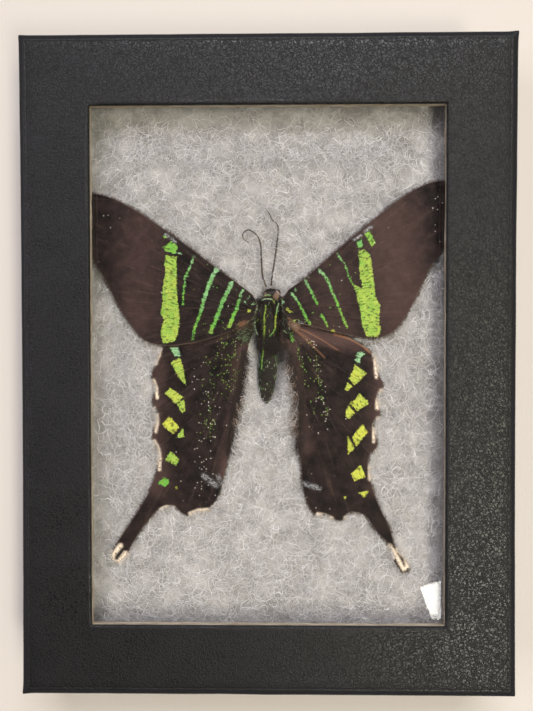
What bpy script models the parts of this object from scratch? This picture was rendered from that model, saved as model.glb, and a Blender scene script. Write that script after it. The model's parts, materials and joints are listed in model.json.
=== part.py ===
"""Framed moth specimen: a shallow black card case with a glazed lid, a fibre pad and a spread day-flying moth.

The case is a telescoping box. A tray holds the pad, the moth lies on the pad with its body sunk in a hollow,
a glass pane presses on its wings, and a lid with a window slides down over the tray. Four pins hold the lid.

Sizes are in millimetres and are turned to metres where a shape is made. The origin is the centre of the
underside, +Z goes out through the glass, +Y points the way the moth's head points and +X is to its right.
"""

import math

import bmesh
import bpy
from mathutils import Matrix, Vector
from mathutils.geometry import interpolate_bezier

MM = 0.001

# Case
CASE_WIDTH = 105.0
CASE_LENGTH = 140.0
CASE_HEIGHT = 19.0
BORDER = 15.0
LID_WALL = 1.9
LID_LIFT = 1.2
LID_EDGE = 0.9
TRAY_WALL = 1.6
TRAY_GAP = 0.4
TRAY_RIM = 14.5
GLASS_THICK = 2.0
GAP = 0.3

# Pad
PAD_TOP = 13.3
PAD_GAP = 0.4
PAD_EDGE = 1.5
HOLLOW_LOW = (-5.4, -10.0, 4.6)
HOLLOW_HIGH = (6.2, 19.2, 20.0)
HOLLOW_ROUND = 4.0

# Pins
PIN_HEIGHT = 7.5
PIN_LENGTH = 14.0
PIN_RADIUS = 0.3
PIN_HEAD_RADIUS = 0.9
PIN_HEAD_THICK = 0.8
PIN_HOLE_RADIUS = 0.65

# Moth
WING_THICK = 0.3
FOREWING_LOW = 14.2
HINDWING_LOW = 13.6
THORAX_CENTRE = (0.45, 9.4, 11.6)
THORAX_RADII = (3.5, 4.9, 2.7)
HEAD_CENTRE = (1.0, 15.9, 12.6)
HEAD_RADII = (2.0, 1.25, 1.4)
ABDOMEN_LENGTH = 12.5
ABDOMEN_BASE = (0.3, 4.1, 12.0)
ABDOMEN_TILT = math.radians(-3.4)
ABDOMEN_FLAT = 0.82
ANTENNA_RADIUS = 0.22
LEG_RADIUS = 0.3

LID_INSIDE_WIDTH = CASE_WIDTH - 2 * LID_WALL
LID_INSIDE_LENGTH = CASE_LENGTH - 2 * LID_WALL
TRAY_WIDTH = LID_INSIDE_WIDTH - 2 * TRAY_GAP
TRAY_LENGTH = LID_INSIDE_LENGTH - 2 * TRAY_GAP
PAD_WIDTH = TRAY_WIDTH - 2 * TRAY_WALL - 2 * PAD_GAP
PAD_LENGTH = TRAY_LENGTH - 2 * TRAY_WALL - 2 * PAD_GAP
PAD_BOTTOM = TRAY_WALL + GAP
CEILING = CASE_HEIGHT - LID_WALL
GLASS_TOP = CEILING - GAP

# Wing outlines from the root along the front edge, round the tip or tail, and back along the rear edge
FOREWING_LEFT = (
    (-2.4, 14.1), (-6.0, 17.6), (-10.4, 20.8), (-17.9, 26.5), (-23.1, 30.2), (-29.4, 34.3),
    (-35.5, 37.0), (-40.6, 37.3), (-43.8, 35.4), (-43.4, 32.6), (-40.7, 27.9), (-38.1, 23.5),
    (-35.3, 19.0), (-32.1, 12.7), (-28.6, 7.6), (-26.4, 5.5), (-22.9, 4.6), (-17.9, 4.8),
    (-13.6, 5.7), (-8.6, 7.4), (-3.4, 10.2), (-2.6, 12.2),
)
FOREWING_RIGHT = (
    (3.2, 14.7), (8.3, 19.2), (14.4, 24.6), (18.6, 28.1), (23.2, 31.9), (29.6, 36.7),
    (34.4, 39.2), (38.4, 39.8), (42.2, 38.7), (43.6, 36.4), (42.0, 32.1), (38.4, 26.2),
    (34.9, 20.9), (31.6, 14.1), (28.4, 8.8), (26.0, 6.8), (22.0, 6.0), (17.8, 6.7),
    (13.5, 7.6), (8.7, 8.9), (4.0, 10.4), (3.3, 12.5),
)
HINDWING_LEFT = (
    (-3.6, 9.8), (-9.7, 7.6), (-15.9, 5.7), (-21.6, 4.6), (-22.9, 3.9), (-24.0, 0.9),
    (-25.3, -2.4), (-24.5, -3.7), (-24.3, -5.4), (-25.1, -7.2), (-24.9, -8.6), (-24.0, -9.4),
    (-23.9, -11.0), (-24.5, -13.2), (-25.2, -14.9), (-24.9, -16.2), (-24.1, -16.9), (-23.5, -18.8),
    (-23.9, -21.4), (-25.6, -26.6), (-27.4, -30.0), (-31.3, -36.1), (-33.7, -40.0), (-34.2, -41.8),
    (-33.5, -42.7), (-32.0, -42.4), (-29.6, -38.7), (-25.7, -33.1), (-23.9, -31.3), (-22.2, -30.6),
    (-20.6, -30.5), (-18.9, -32.0), (-17.4, -32.5), (-15.7, -31.5), (-14.0, -31.7), (-12.3, -30.4),
    (-11.0, -28.7), (-9.4, -23.1), (-8.1, -17.5), (-6.6, -9.9), (-5.5, -2.0), (-4.0, 5.0),
    (-3.4, 7.4),
)
HINDWING_RIGHT = (
    (4.2, 9.8), (10.2, 8.2), (16.7, 6.6), (19.4, 5.2), (22.0, 3.4), (23.3, 1.2),
    (23.7, -1.2), (25.1, -4.6), (24.0, -5.8), (23.6, -7.0), (24.2, -9.2), (24.3, -10.8),
    (23.2, -11.6), (22.8, -12.7), (23.2, -14.8), (23.8, -16.6), (23.4, -18.1), (22.3, -18.9),
    (21.9, -20.9), (22.1, -23.5), (23.8, -29.5), (26.6, -35.5), (27.7, -39.4), (30.1, -42.8),
    (30.7, -44.1), (30.1, -45.0), (29.0, -44.7), (27.1, -39.8), (23.6, -35.9), (21.1, -32.5),
    (19.8, -32.0), (18.3, -31.8), (17.0, -32.3), (16.4, -33.4), (15.1, -33.6), (13.4, -32.5),
    (11.6, -32.1), (10.6, -32.4), (9.3, -31.2), (7.6, -26.1), (7.3, -22.2), (6.5, -15.3),
    (6.9, -8.4), (5.9, -2.4), (4.5, 4.4), (4.1, 7.2),
)

# Antennae from the head to the curled tip, and legs from the breast to the foot
ANTENNAE = {
    "antenna_left": (
        (-0.3, 17.3, 13.6), (-1.1, 19.7, 14.0), (-1.35, 23.5, 14.1), (-1.5, 26.2, 14.1), (-2.2, 28.2, 14.1),
        (-4.0, 29.5, 14.1), (-5.3, 28.8, 14.1), (-5.2, 27.6, 14.1), (-4.1, 26.8, 14.0),
    ),
    "antenna_right": (
        (0.8, 17.5, 13.6), (1.0, 19.4, 14.0), (1.5, 22.7, 14.1), (2.0, 26.3, 14.1), (2.3, 29.6, 14.1),
        (1.9, 30.9, 14.1), (0.9, 31.8, 14.1), (0.5, 32.8, 14.1), (-0.2, 33.8, 14.0),
    ),
}
LEGS = {
    "front_leg_left": (
        (-0.9, 12.4, 8.4), (-2.9, 13.8, 8.2), (-3.6, 15.8, 8.4), (-2.6, 17.4, 8.6), (-0.6, 17.9, 8.7),
    ),
    "front_leg_right": (
        (1.8, 12.4, 8.4), (3.8, 13.9, 8.2), (4.5, 15.8, 8.4), (3.9, 17.3, 8.6), (1.9, 17.6, 8.7),
    ),
    "middle_leg_left": (
        (-1.6, 9.6, 8.0), (-4.0, 9.2, 8.2), (-4.4, 6.4, 8.0), (-3.4, 3.6, 8.2), (-3.0, 1.4, 8.4),
    ),
    "middle_leg_right": (
        (2.5, 9.6, 8.0), (4.9, 9.2, 8.2), (5.3, 6.4, 8.0), (4.4, 3.8, 8.2), (3.9, 1.4, 8.4),
    ),
    "hind_leg_left": (
        (-1.0, 7.0, 8.0), (-2.2, 5.2, 7.0), (-2.8, 2.6, 6.6), (-2.9, 0.4, 9.4), (-3.1, -1.4, 12.6),
    ),
    "hind_leg_right": (
        (1.9, 7.0, 8.0), (3.0, 5.4, 7.0), (3.2, 3.4, 6.6), (3.0, 1.9, 9.4), (2.8, 1.0, 12.4),
    ),
}


def clear_scene():
    """Removes every object that is in the file."""
    for obj in list(bpy.data.objects):
        bpy.data.objects.remove(obj, do_unlink=True)


def new_collection(name):
    """A collection in the scene, made with this name."""
    collection = bpy.data.collections.new(name)
    bpy.context.scene.collection.children.link(collection)
    return collection


def linear(hex_colour):
    """A colour written as six sRGB hex digits, as linear red, green, blue and alpha."""
    channels = [int(hex_colour[i : i + 2], 16) / 255 for i in (0, 2, 4)]
    return [c / 12.92 if c <= 0.04045 else ((c + 0.055) / 1.055) ** 2.4 for c in channels] + [1.0]


def material(name, hex_colour, roughness, metallic=0.0, transmission=0.0):
    """A Principled material of one colour."""
    made = bpy.data.materials.new(name)
    made.use_nodes = True
    shader = made.node_tree.nodes["Principled BSDF"]
    shader.inputs["Base Color"].default_value = linear(hex_colour)
    shader.inputs["Roughness"].default_value = roughness
    shader.inputs["Metallic"].default_value = metallic
    shader.inputs["Transmission Weight"].default_value = transmission
    return made


def add(name, data, collection, finish=None):
    """An object for this mesh or curve, in the collection, with the material."""
    obj = bpy.data.objects.new(name, data)
    collection.objects.link(obj)
    if finish:
        data.materials.append(finish)
    return obj


def box(name, low, high, collection, finish=None):
    """A box between two corners, with its object at its centre."""
    centre = (Vector(low) + Vector(high)) / 2
    size = Vector(high) - Vector(low)
    shape = bmesh.new()
    bmesh.ops.create_cube(shape, size=MM)
    bmesh.ops.scale(shape, vec=size, verts=shape.verts)
    mesh = bpy.data.meshes.new(name)
    shape.to_mesh(mesh)
    shape.free()
    obj = add(name, mesh, collection, finish)
    obj.location = centre * MM
    return obj


def centred_box(name, width, length, bottom, top, collection, finish=None):
    """A box centred on the case's upright axis."""
    low = (-width / 2, -length / 2, bottom)
    high = (width / 2, length / 2, top)
    return box(name, low, high, collection, finish)


def round_edges(obj, width, segments=2):
    """Rounds the sharp edges of an object with a live Bevel."""
    bevel = obj.modifiers.new("rounded", "BEVEL")
    bevel.width = width * MM
    bevel.segments = segments
    bevel.limit_method = "ANGLE"
    bevel.angle_limit = math.radians(40)


def as_cutter(obj):
    """Keeps an object out of the model, as a shape that only cuts."""
    obj.hide_render = True
    obj.display_type = "WIRE"
    return obj


def cut(obj, cutter):
    """Takes the cutter's shape out of an object with a live Boolean."""
    boolean = obj.modifiers.new("cut by " + cutter.name, "BOOLEAN")
    boolean.operation = "DIFFERENCE"
    boolean.solver = "EXACT"
    boolean.object = cutter


def turned(name, profile, steps, collection, finish):
    """A solid turned about its own Z axis from (radius, height) points that run from the top to the bottom."""
    mesh = bpy.data.meshes.new(name)
    shape = bmesh.new()
    corners = [shape.verts.new((radius * MM, 0, height * MM)) for radius, height in profile]
    for first, second in zip(corners, corners[1:]):
        shape.edges.new((first, second))
    shape.to_mesh(mesh)
    shape.free()
    obj = add(name, mesh, collection, finish)
    screw = obj.modifiers.new("turned", "SCREW")
    screw.axis = "Z"
    screw.angle = 2 * math.pi
    screw.steps = steps
    screw.render_steps = steps
    screw.use_merge_vertices = True
    screw.merge_threshold = 0.00001
    screw.use_smooth_shade = True
    return obj


def ball(name, centre, radii, collection, finish, across=20):
    """An egg-shaped solid with three radii."""
    shape = bmesh.new()
    bmesh.ops.create_uvsphere(shape, u_segments=across, v_segments=across // 2 + 2, radius=MM)
    bmesh.ops.scale(shape, vec=radii, verts=shape.verts)
    mesh = bpy.data.meshes.new(name)
    shape.to_mesh(mesh)
    shape.free()
    mesh.shade_smooth()
    obj = add(name, mesh, collection, finish)
    obj.location = Vector(centre) * MM
    return obj


def plate(name, outline, bottom, collection, finish):
    """A thin wing cut to a closed outline, smooth through the points, with its underside at this height."""
    curve = bpy.data.curves.new(name, "CURVE")
    curve.dimensions = "2D"
    curve.fill_mode = "BOTH"
    curve.extrude = WING_THICK / 2 * MM
    curve.resolution_u = 3
    spline = curve.splines.new("BEZIER")
    spline.bezier_points.add(len(outline) - 1)
    for point, (x, y) in zip(spline.bezier_points, outline):
        point.co = (x * MM, y * MM, 0)
        point.handle_left_type = "AUTO"
        point.handle_right_type = "AUTO"
    spline.use_cyclic_u = True
    obj = add(name, curve, collection, finish)
    obj.location.z = (bottom + WING_THICK / 2) * MM
    return obj


def smooth_route(points, steps):
    """Points along a smooth curve through the given ones, with this many steps in each stretch."""
    stops = [Vector(p) for p in points]
    ahead = stops[1:] + [2 * stops[-1] - stops[-2]]
    behind = [2 * stops[0] - stops[1]] + stops[:-1]
    slopes = [(a - b) / 6 for a, b in zip(ahead, behind)]
    route = [stops[0]]
    for i in range(len(stops) - 1):
        bend = (stops[i], stops[i] + slopes[i], stops[i + 1] - slopes[i + 1], stops[i + 1])
        route += interpolate_bezier(*bend, steps + 1)[1:]
    return route


def tapered_tube(name, points, radius, tip, steps, collection, finish):
    """A round feeler or leg along a route, which thins towards its far end to this share of its radius."""
    route = smooth_route(points, steps)
    curve = bpy.data.curves.new(name, "CURVE")
    curve.dimensions = "3D"
    curve.bevel_depth = radius * MM
    curve.bevel_resolution = 1
    curve.use_fill_caps = True
    spline = curve.splines.new("POLY")
    spline.points.add(len(route) - 1)
    for i, (point, place) in enumerate(zip(spline.points, route)):
        point.co = (*(place * MM), 1)
        point.radius = 1 - (1 - tip) * i / (len(route) - 1)
    return add(name, curve, collection, finish)


def make_lid(parts, cutters, card):
    """The lid: a card shell open below, with the window cut through its top."""
    lid = centred_box("lid", CASE_WIDTH, CASE_LENGTH, LID_LIFT, CASE_HEIGHT, parts, card)
    round_edges(lid, LID_EDGE)
    inside = centred_box("lid_inside", LID_INSIDE_WIDTH, LID_INSIDE_LENGTH, -5, CEILING, cutters)
    window_width = CASE_WIDTH - 2 * BORDER
    window_length = CASE_LENGTH - 2 * BORDER
    window = centred_box("window", window_width, window_length, CEILING - 5, CASE_HEIGHT + 5, cutters)
    for cutter in (inside, window):
        cut(lid, as_cutter(cutter))
    return lid


def make_tray(parts, cutters, card):
    """The tray: a card shell open above, which carries the pad."""
    tray = centred_box("tray", TRAY_WIDTH, TRAY_LENGTH, 0, TRAY_RIM, parts, card)
    round_edges(tray, LID_EDGE / 2)
    inside_width = TRAY_WIDTH - 2 * TRAY_WALL
    inside_length = TRAY_LENGTH - 2 * TRAY_WALL
    inside = centred_box("tray_inside", inside_width, inside_length, TRAY_WALL, TRAY_RIM + 5, cutters)
    cut(tray, as_cutter(inside))
    return tray


def make_pad(parts, cutters, fibre):
    """The pad: a soft block with a hollow for the moth's body and legs."""
    pad = centred_box("batting", PAD_WIDTH, PAD_LENGTH, PAD_BOTTOM, PAD_TOP, parts, fibre)
    round_edges(pad, PAD_EDGE)
    hollow = box("body_hollow", HOLLOW_LOW, HOLLOW_HIGH, cutters)
    round_edges(hollow, HOLLOW_ROUND)
    cut(pad, as_cutter(hollow))
    return pad


def make_pins(parts, cutters, steel, pierced):
    """Four pins, one in the middle of each side, each through a hole in the lid, the tray and the pad."""
    profile = (
        (0, PIN_HEAD_THICK),
        (PIN_HEAD_RADIUS * 0.7, PIN_HEAD_THICK * 0.85),
        (PIN_HEAD_RADIUS, PIN_HEAD_THICK * 0.4),
        (PIN_HEAD_RADIUS, 0),
        (PIN_RADIUS, 0),
        (PIN_RADIUS, 1.5 - PIN_LENGTH),
        (0, -PIN_LENGTH),
    )
    sides = {
        "right": (CASE_WIDTH / 2, 0),
        "back": (CASE_LENGTH / 2, 90),
        "left": (CASE_WIDTH / 2, 180),
        "front": (CASE_LENGTH / 2, 270),
    }
    for side, (reach, degrees) in sides.items():
        out = Matrix.Rotation(math.radians(degrees), 3, "Z") @ Vector((1, 0, 0))
        turn = out.to_track_quat("Z", "Y").to_euler()
        pin = turned("pin_" + side, profile, 12, parts, steel)
        pin.location = (out * (reach + GAP) + Vector((0, 0, PIN_HEIGHT))) * MM
        pin.rotation_euler = turn
        length = PIN_LENGTH + 2
        bpy.ops.mesh.primitive_cylinder_add(vertices=12, radius=PIN_HOLE_RADIUS * MM, depth=length * MM)
        hole = bpy.context.object
        hole.name = "pin_hole_" + side
        hole.location = (out * (reach + 1 - length / 2) + Vector((0, 0, PIN_HEIGHT))) * MM
        hole.rotation_euler = turn
        for collection in list(hole.users_collection):
            collection.objects.unlink(hole)
        cutters.objects.link(hole)
        for obj in pierced:
            cut(obj, as_cutter(hole))


def make_moth(parts):
    """The moth: four wings, a body in three pieces, two antennae and six legs folded under it."""
    wing = material("wing_scales", "2E2626", 0.75)
    fur = material("body_fur", "33281F", 0.9)
    horn = material("dark_horn", "1E1815", 0.5)
    plate("forewing_left", FOREWING_LEFT, FOREWING_LOW, parts, wing)
    plate("forewing_right", FOREWING_RIGHT, FOREWING_LOW, parts, wing)
    plate("hindwing_left", HINDWING_LEFT, HINDWING_LOW, parts, wing)
    plate("hindwing_right", HINDWING_RIGHT, HINDWING_LOW, parts, wing)
    ball("head", HEAD_CENTRE, HEAD_RADII, parts, fur, 16)
    ball("thorax", THORAX_CENTRE, THORAX_RADII, parts, fur, 24)
    taper = ((0.0, 0.0), (0.07, 1.5), (0.22, 2.1), (0.45, 2.1), (0.7, 1.75), (0.9, 0.95), (1.0, 0.0))
    profile = [(radius, -share * ABDOMEN_LENGTH) for share, radius in taper]
    abdomen = turned("abdomen", profile, 18, parts, fur)
    abdomen.location = Vector(ABDOMEN_BASE) * MM
    abdomen.rotation_euler = (-math.pi / 2, 0, ABDOMEN_TILT)
    abdomen.scale.y = ABDOMEN_FLAT
    for name, points in ANTENNAE.items():
        tapered_tube(name, points, ANTENNA_RADIUS, 0.45, 4, parts, horn)
    for name, points in LEGS.items():
        tapered_tube(name, points, LEG_RADIUS, 0.5, 3, parts, horn)


def main():
    """Builds the case, the pad, the glass, the pins and the moth."""
    clear_scene()
    parts = new_collection("framed_moth_specimen")
    cutters = new_collection("cutters")
    cutters.hide_render = True
    card = material("black_leatherette_card", "2A2A2E", 0.45)
    fibre = material("grey_white_fibre", "B4B2B0", 0.95)
    lid = make_lid(parts, cutters, card)
    tray = make_tray(parts, cutters, card)
    pad = make_pad(parts, cutters, fibre)
    clear = material("window_glass", "F4F8F6", 0.03, transmission=1.0)
    centred_box("glass_pane", TRAY_WIDTH, TRAY_LENGTH, GLASS_TOP - GLASS_THICK, GLASS_TOP, parts, clear)
    steel = material("nickel_steel", "B8B8B4", 0.3, metallic=1.0)
    make_pins(parts, cutters, steel, (lid, tray, pad))
    make_moth(parts)


main()
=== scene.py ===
"""Looks of a framed moth specimen: a black card case with a glazed lid, a fibre pad and a spread moth.

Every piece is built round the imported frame, in metres, with +Z out through the glass and +Y towards the
moth's head. Sizes in the dataclasses are in millimetres.
"""

import json
import logging
import math
from dataclasses import dataclass, field
from enum import Enum

import bmesh
import bpy
import numpy as np
from mathutils import Matrix, Vector, noise

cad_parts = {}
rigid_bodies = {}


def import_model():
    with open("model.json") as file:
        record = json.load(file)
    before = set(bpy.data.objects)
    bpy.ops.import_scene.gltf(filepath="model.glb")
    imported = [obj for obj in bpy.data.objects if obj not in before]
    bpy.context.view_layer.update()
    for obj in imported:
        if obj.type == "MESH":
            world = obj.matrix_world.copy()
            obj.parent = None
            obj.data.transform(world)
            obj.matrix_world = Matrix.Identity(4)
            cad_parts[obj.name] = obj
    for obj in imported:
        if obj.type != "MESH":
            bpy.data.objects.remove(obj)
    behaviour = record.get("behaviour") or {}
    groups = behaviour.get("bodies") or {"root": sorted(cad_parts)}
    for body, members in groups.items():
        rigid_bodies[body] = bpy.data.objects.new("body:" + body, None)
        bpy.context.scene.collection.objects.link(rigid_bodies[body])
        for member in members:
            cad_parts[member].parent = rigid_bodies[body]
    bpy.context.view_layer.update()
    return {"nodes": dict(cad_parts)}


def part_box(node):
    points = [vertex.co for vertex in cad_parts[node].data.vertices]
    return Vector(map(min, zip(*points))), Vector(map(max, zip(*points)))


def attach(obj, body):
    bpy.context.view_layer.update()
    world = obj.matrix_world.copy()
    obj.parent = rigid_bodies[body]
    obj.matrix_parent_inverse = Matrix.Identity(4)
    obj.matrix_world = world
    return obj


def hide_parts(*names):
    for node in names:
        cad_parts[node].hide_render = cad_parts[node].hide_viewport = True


MM = 0.001
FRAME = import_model()
LOG = logging.getLogger("moth_case")

# Sockets of the Mix node when it mixes colours
MIX_COLOURS = {"data_type": "RGBA"}
FACTOR, FIRST, SECOND, MIXED = 0, 6, 7, 2
SMOOTH_STEP = {"interpolation_type": "SMOOTHSTEP"}

Point = tuple[float, float]
Place = tuple[float, float, float]
Stop = tuple[float, str]
Material = bpy.types.Material


def linear(hex_colour: str) -> tuple[float, float, float, float]:
    """Turns an sRGB hex colour into linear red, green, blue and alpha.

    Args:
        hex_colour: six hex digits.

    Returns:
        The four linear channels.
    """
    channels = [int(hex_colour[i : i + 2], 16) / 255 for i in (0, 2, 4)]
    return (*[c / 12.92 if c <= 0.04045 else ((c + 0.055) / 1.055) ** 2.4 for c in channels], 1.0)


def add_node(
    tree: bpy.types.NodeTree, kind: str, settings: dict | None = None, inputs: dict | None = None
) -> bpy.types.Node:
    """Adds a node with its settings and links.

    Args:
        tree: the material's node tree.
        kind: the node's type name without its "ShaderNode" prefix.
        settings: attribute names and values.
        inputs: socket names or numbers, each with a value, a node (its first output) or (node, output).

    Returns:
        The new node.
    """
    node = tree.nodes.new("ShaderNode" + kind)
    for name, value in (settings or {}).items():
        setattr(node, name, value)
    for name, value in (inputs or {}).items():
        if isinstance(value, bpy.types.Node):
            tree.links.new(value.outputs[0], node.inputs[name])
        elif isinstance(value, tuple) and isinstance(value[0], bpy.types.Node):
            tree.links.new(value[0].outputs[value[1]], node.inputs[name])
        else:
            node.inputs[name].default_value = value
    return node


def new_material(name: str) -> tuple[Material, bpy.types.NodeTree]:
    """Makes an empty node material.

    Args:
        name: the material's name.

    Returns:
        The material and its tree.
    """
    made = bpy.data.materials.new(name)
    made.use_nodes = True
    made.node_tree.nodes.clear()
    return made, made.node_tree


def place_mesh(name: str, mesh: bpy.types.Mesh, materials: list[Material], smooth: bool) -> bpy.types.Object:
    """Makes an object of a mesh and its materials, riding on the case."""
    for material in materials:
        mesh.materials.append(material)
    if smooth:
        mesh.shade_smooth()
    obj = bpy.data.objects.new(name, mesh)
    bpy.context.scene.collection.objects.link(obj)
    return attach(obj, "root")


def piece_from_bmesh(
    name: str, shape: bmesh.types.BMesh, materials: list[Material], smooth: bool = True
) -> bpy.types.Object:
    """Makes an object at the origin from a bmesh, which is freed.

    Args:
        name: the piece's name.
        shape: the finished shape, in metres.
        materials: the materials, in the order of the faces' material numbers.
        smooth: whether its faces are shaded smooth.

    Returns:
        The object, riding on the case.
    """
    mesh = bpy.data.meshes.new(name)
    shape.to_mesh(mesh)
    shape.free()
    return place_mesh(name, mesh, materials, smooth)


def box_shape(node: str) -> tuple[bmesh.types.BMesh, Vector, Vector]:
    """Makes a box as large as one of the frame's nodes.

    Args:
        node: the node's name.

    Returns:
        The box, and its lowest and highest corners in metres.
    """
    low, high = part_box(node)
    shape = bmesh.new()
    bmesh.ops.create_cube(shape, size=1.0)
    bmesh.ops.scale(shape, vec=high - low, verts=shape.verts)
    bmesh.ops.translate(shape, vec=(low + high) / 2, verts=shape.verts)
    return shape, low, high


def cut_across(shape: bmesh.types.BMesh, axis: int, place_mm: float, tolerance: float) -> None:
    """Divides a shape at a place on an axis, by a plane square to it."""
    centre, normal = Vector((0, 0, 0)), Vector((0, 0, 0))
    centre[axis], normal[axis] = place_mm * MM, 1
    everything = shape.verts[:] + shape.edges[:] + shape.faces[:]
    bmesh.ops.bisect_plane(shape, geom=everything, plane_co=centre, plane_no=normal, dist=tolerance)


def turned(line: list[Vector], middle: Vector, axis: Vector, steps: int) -> bmesh.types.BMesh:
    """Turns a profile once round an axis.

    Args:
        line: the profile's points, in metres.
        middle: a point of the axis.
        axis: its direction.
        steps: how many steps make the round.

    Returns:
        The turned shape.
    """
    shape = bmesh.new()
    verts = [shape.verts.new(point) for point in line]
    for first, second in zip(verts, verts[1:]):
        shape.edges.new((first, second))
    bmesh.ops.spin(
        shape,
        geom=shape.verts[:] + shape.edges[:],
        cent=middle,
        axis=axis,
        angle=2 * math.pi,
        steps=steps,
        use_merge=True,
    )
    return shape


def set_attribute(mesh: bpy.types.Mesh, name: str, values: np.ndarray) -> None:
    """Stores one number for each vertex of a mesh under a name."""
    layer = mesh.attributes.new(name, "FLOAT", "POINT")
    layer.data.foreach_set("value", values.astype(np.float32))


def strands(
    name: str,
    paths: np.ndarray,
    radii: np.ndarray,
    material: Material,
    sides: int = 3,
    facts: dict[str, np.ndarray] | None = None,
) -> bpy.types.Object:
    """Makes one mesh of many thin closed tubes, for hair, fibres and feelers.

    Args:
        name: the piece's name.
        paths: the tubes' middle points in millimetres, as (tubes, points, 3).
        radii: their radii in millimetres, as (tubes, points).
        material: their material.
        sides: the corners of each tube's section.
        facts: attribute names, each with one number a tube.

    Returns:
        The object, riding on the case.
    """
    count, steps, _ = paths.shape
    along = np.gradient(paths, axis=1)
    along /= np.linalg.norm(along, axis=2, keepdims=True) + 1e-12
    aside = np.cross(along, np.array([0.13, 0.08, 1.0]))
    aside /= np.linalg.norm(aside, axis=2, keepdims=True) + 1e-12
    across = np.cross(aside, along)
    turn = np.arange(sides) * 2 * np.pi / sides
    ring = np.cos(turn)[:, None] * aside[:, :, None] + np.sin(turn)[:, None] * across[:, :, None]
    points = (paths[:, :, None] + radii[:, :, None, None] * ring).reshape(-1, 3) * MM

    start = (np.arange(count) * steps * sides)[:, None, None]
    low = start + (np.arange(steps - 1) * sides)[None, :, None] + np.arange(sides)
    low_next = start + (np.arange(steps - 1) * sides)[None, :, None] + (np.arange(sides) + 1) % sides
    quads = np.stack([low, low + sides, low_next + sides, low_next], axis=-1).reshape(-1, 4)
    first = start[:, 0, :] + np.arange(sides)
    last = first[:, ::-1] + (steps - 1) * sides
    caps = np.concatenate([first, last])

    mesh = bpy.data.meshes.new(name)
    mesh.vertices.add(len(points))
    mesh.vertices.foreach_set("co", points.ravel())
    corners = np.concatenate([quads.ravel(), caps.ravel()]).astype(np.int32)
    totals = np.concatenate([np.full(len(quads), 4), np.full(len(caps), sides)]).astype(np.int32)
    mesh.loops.add(len(corners))
    mesh.loops.foreach_set("vertex_index", corners)
    mesh.polygons.add(len(totals))
    mesh.polygons.foreach_set("loop_start", np.concatenate([[0], np.cumsum(totals)[:-1]]).astype(np.int32))
    mesh.update(calc_edges=True)
    mesh.validate()
    for fact, values in (facts or {}).items():
        set_attribute(mesh, fact, np.repeat(values, steps * sides))
    return place_mesh(name, mesh, [material], True)


def lifted(flat: np.ndarray, level: np.ndarray) -> np.ndarray:
    """Gives flat paths, (paths, points, 2), their heights, (paths, points)."""
    return np.concatenate([flat, level[:, :, None]], axis=2)


def thinning(count: int, radius: float, *shares: float) -> np.ndarray:
    """The radii of so many like hairs, each with these shares of a radius from root to tip."""
    return radius * np.array(shares)[None] * np.ones(count)[:, None]


def smooth_path(points: tuple, steps: int) -> np.ndarray:
    """Points along a smooth curve through the given ones.

    Args:
        points: the points that the curve goes through, of any dimension.
        steps: how many points it has in all.

    Returns:
        The curve's points, evenly spread by number.
    """
    stops = np.array(points, float)
    padded = np.vstack([2 * stops[0] - stops[1], stops, 2 * stops[-1] - stops[-2]])
    place = np.linspace(0, len(stops) - 1, steps)
    index = np.minimum(place.astype(int), len(stops) - 2)
    t = (place - index)[:, None]
    a, b, c, d = (padded[index + k] for k in range(4))
    return 0.5 * (2 * b + (c - a) * t + (2 * a - 5 * b + 4 * c - d) * t**2 + (3 * b - a - 3 * c + d) * t**3)


def distance_to_path(places: np.ndarray, path: np.ndarray) -> tuple[np.ndarray, np.ndarray]:
    """How far places are from a path of straight stretches.

    Args:
        places: (places, 2) in millimetres.
        path: (points, 2) in millimetres.

    Returns:
        The distance, and how far along the path its nearest point is, in stretches.
    """
    best = np.full(len(places), 1e9)
    where = np.zeros(len(places))
    for i, (a, b) in enumerate(zip(path[:-1], path[1:])):
        run = b - a
        t = np.clip((places - a) @ run / max(run @ run, 1e-12), 0, 1)
        gap = np.linalg.norm(places - a - t[:, None] * run, axis=1)
        nearer = gap < best
        best[nearer] = gap[nearer]
        where[nearer] = i + t[nearer]
    return best, where


def inside_outline(places: np.ndarray, outline: np.ndarray) -> np.ndarray:
    """True for the places that lie inside a closed outline."""
    x, y = places[:, 0], places[:, 1]
    inside = np.zeros(len(places), bool)
    for (ax, ay), (bx, by) in zip(outline, np.roll(outline, -1, axis=0)):
        crosses = (ay > y) != (by > y)
        at = ax + (y - ay) * (bx - ax) / (by - ay if by != ay else 1e-12)
        inside ^= crosses & (x < at)
    return inside


def depth_inside(places: np.ndarray, outline: np.ndarray) -> np.ndarray:
    """How deep places lie inside a closed outline, in millimetres, and below zero outside it."""
    gap, _ = distance_to_path(places, np.vstack([outline, outline[:1]]))
    return np.where(inside_outline(places, outline), gap, -gap)


def soft_noise(places: np.ndarray, size: float, seed: float) -> np.ndarray:
    """Smooth noise from -1 to 1 at each place, with lumps of this size in millimetres."""
    return np.array([noise.noise(Vector((*(p / size), seed))) for p in places])


# ----------------------------------------------------------------------------------------------------------
# Finishes


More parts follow.
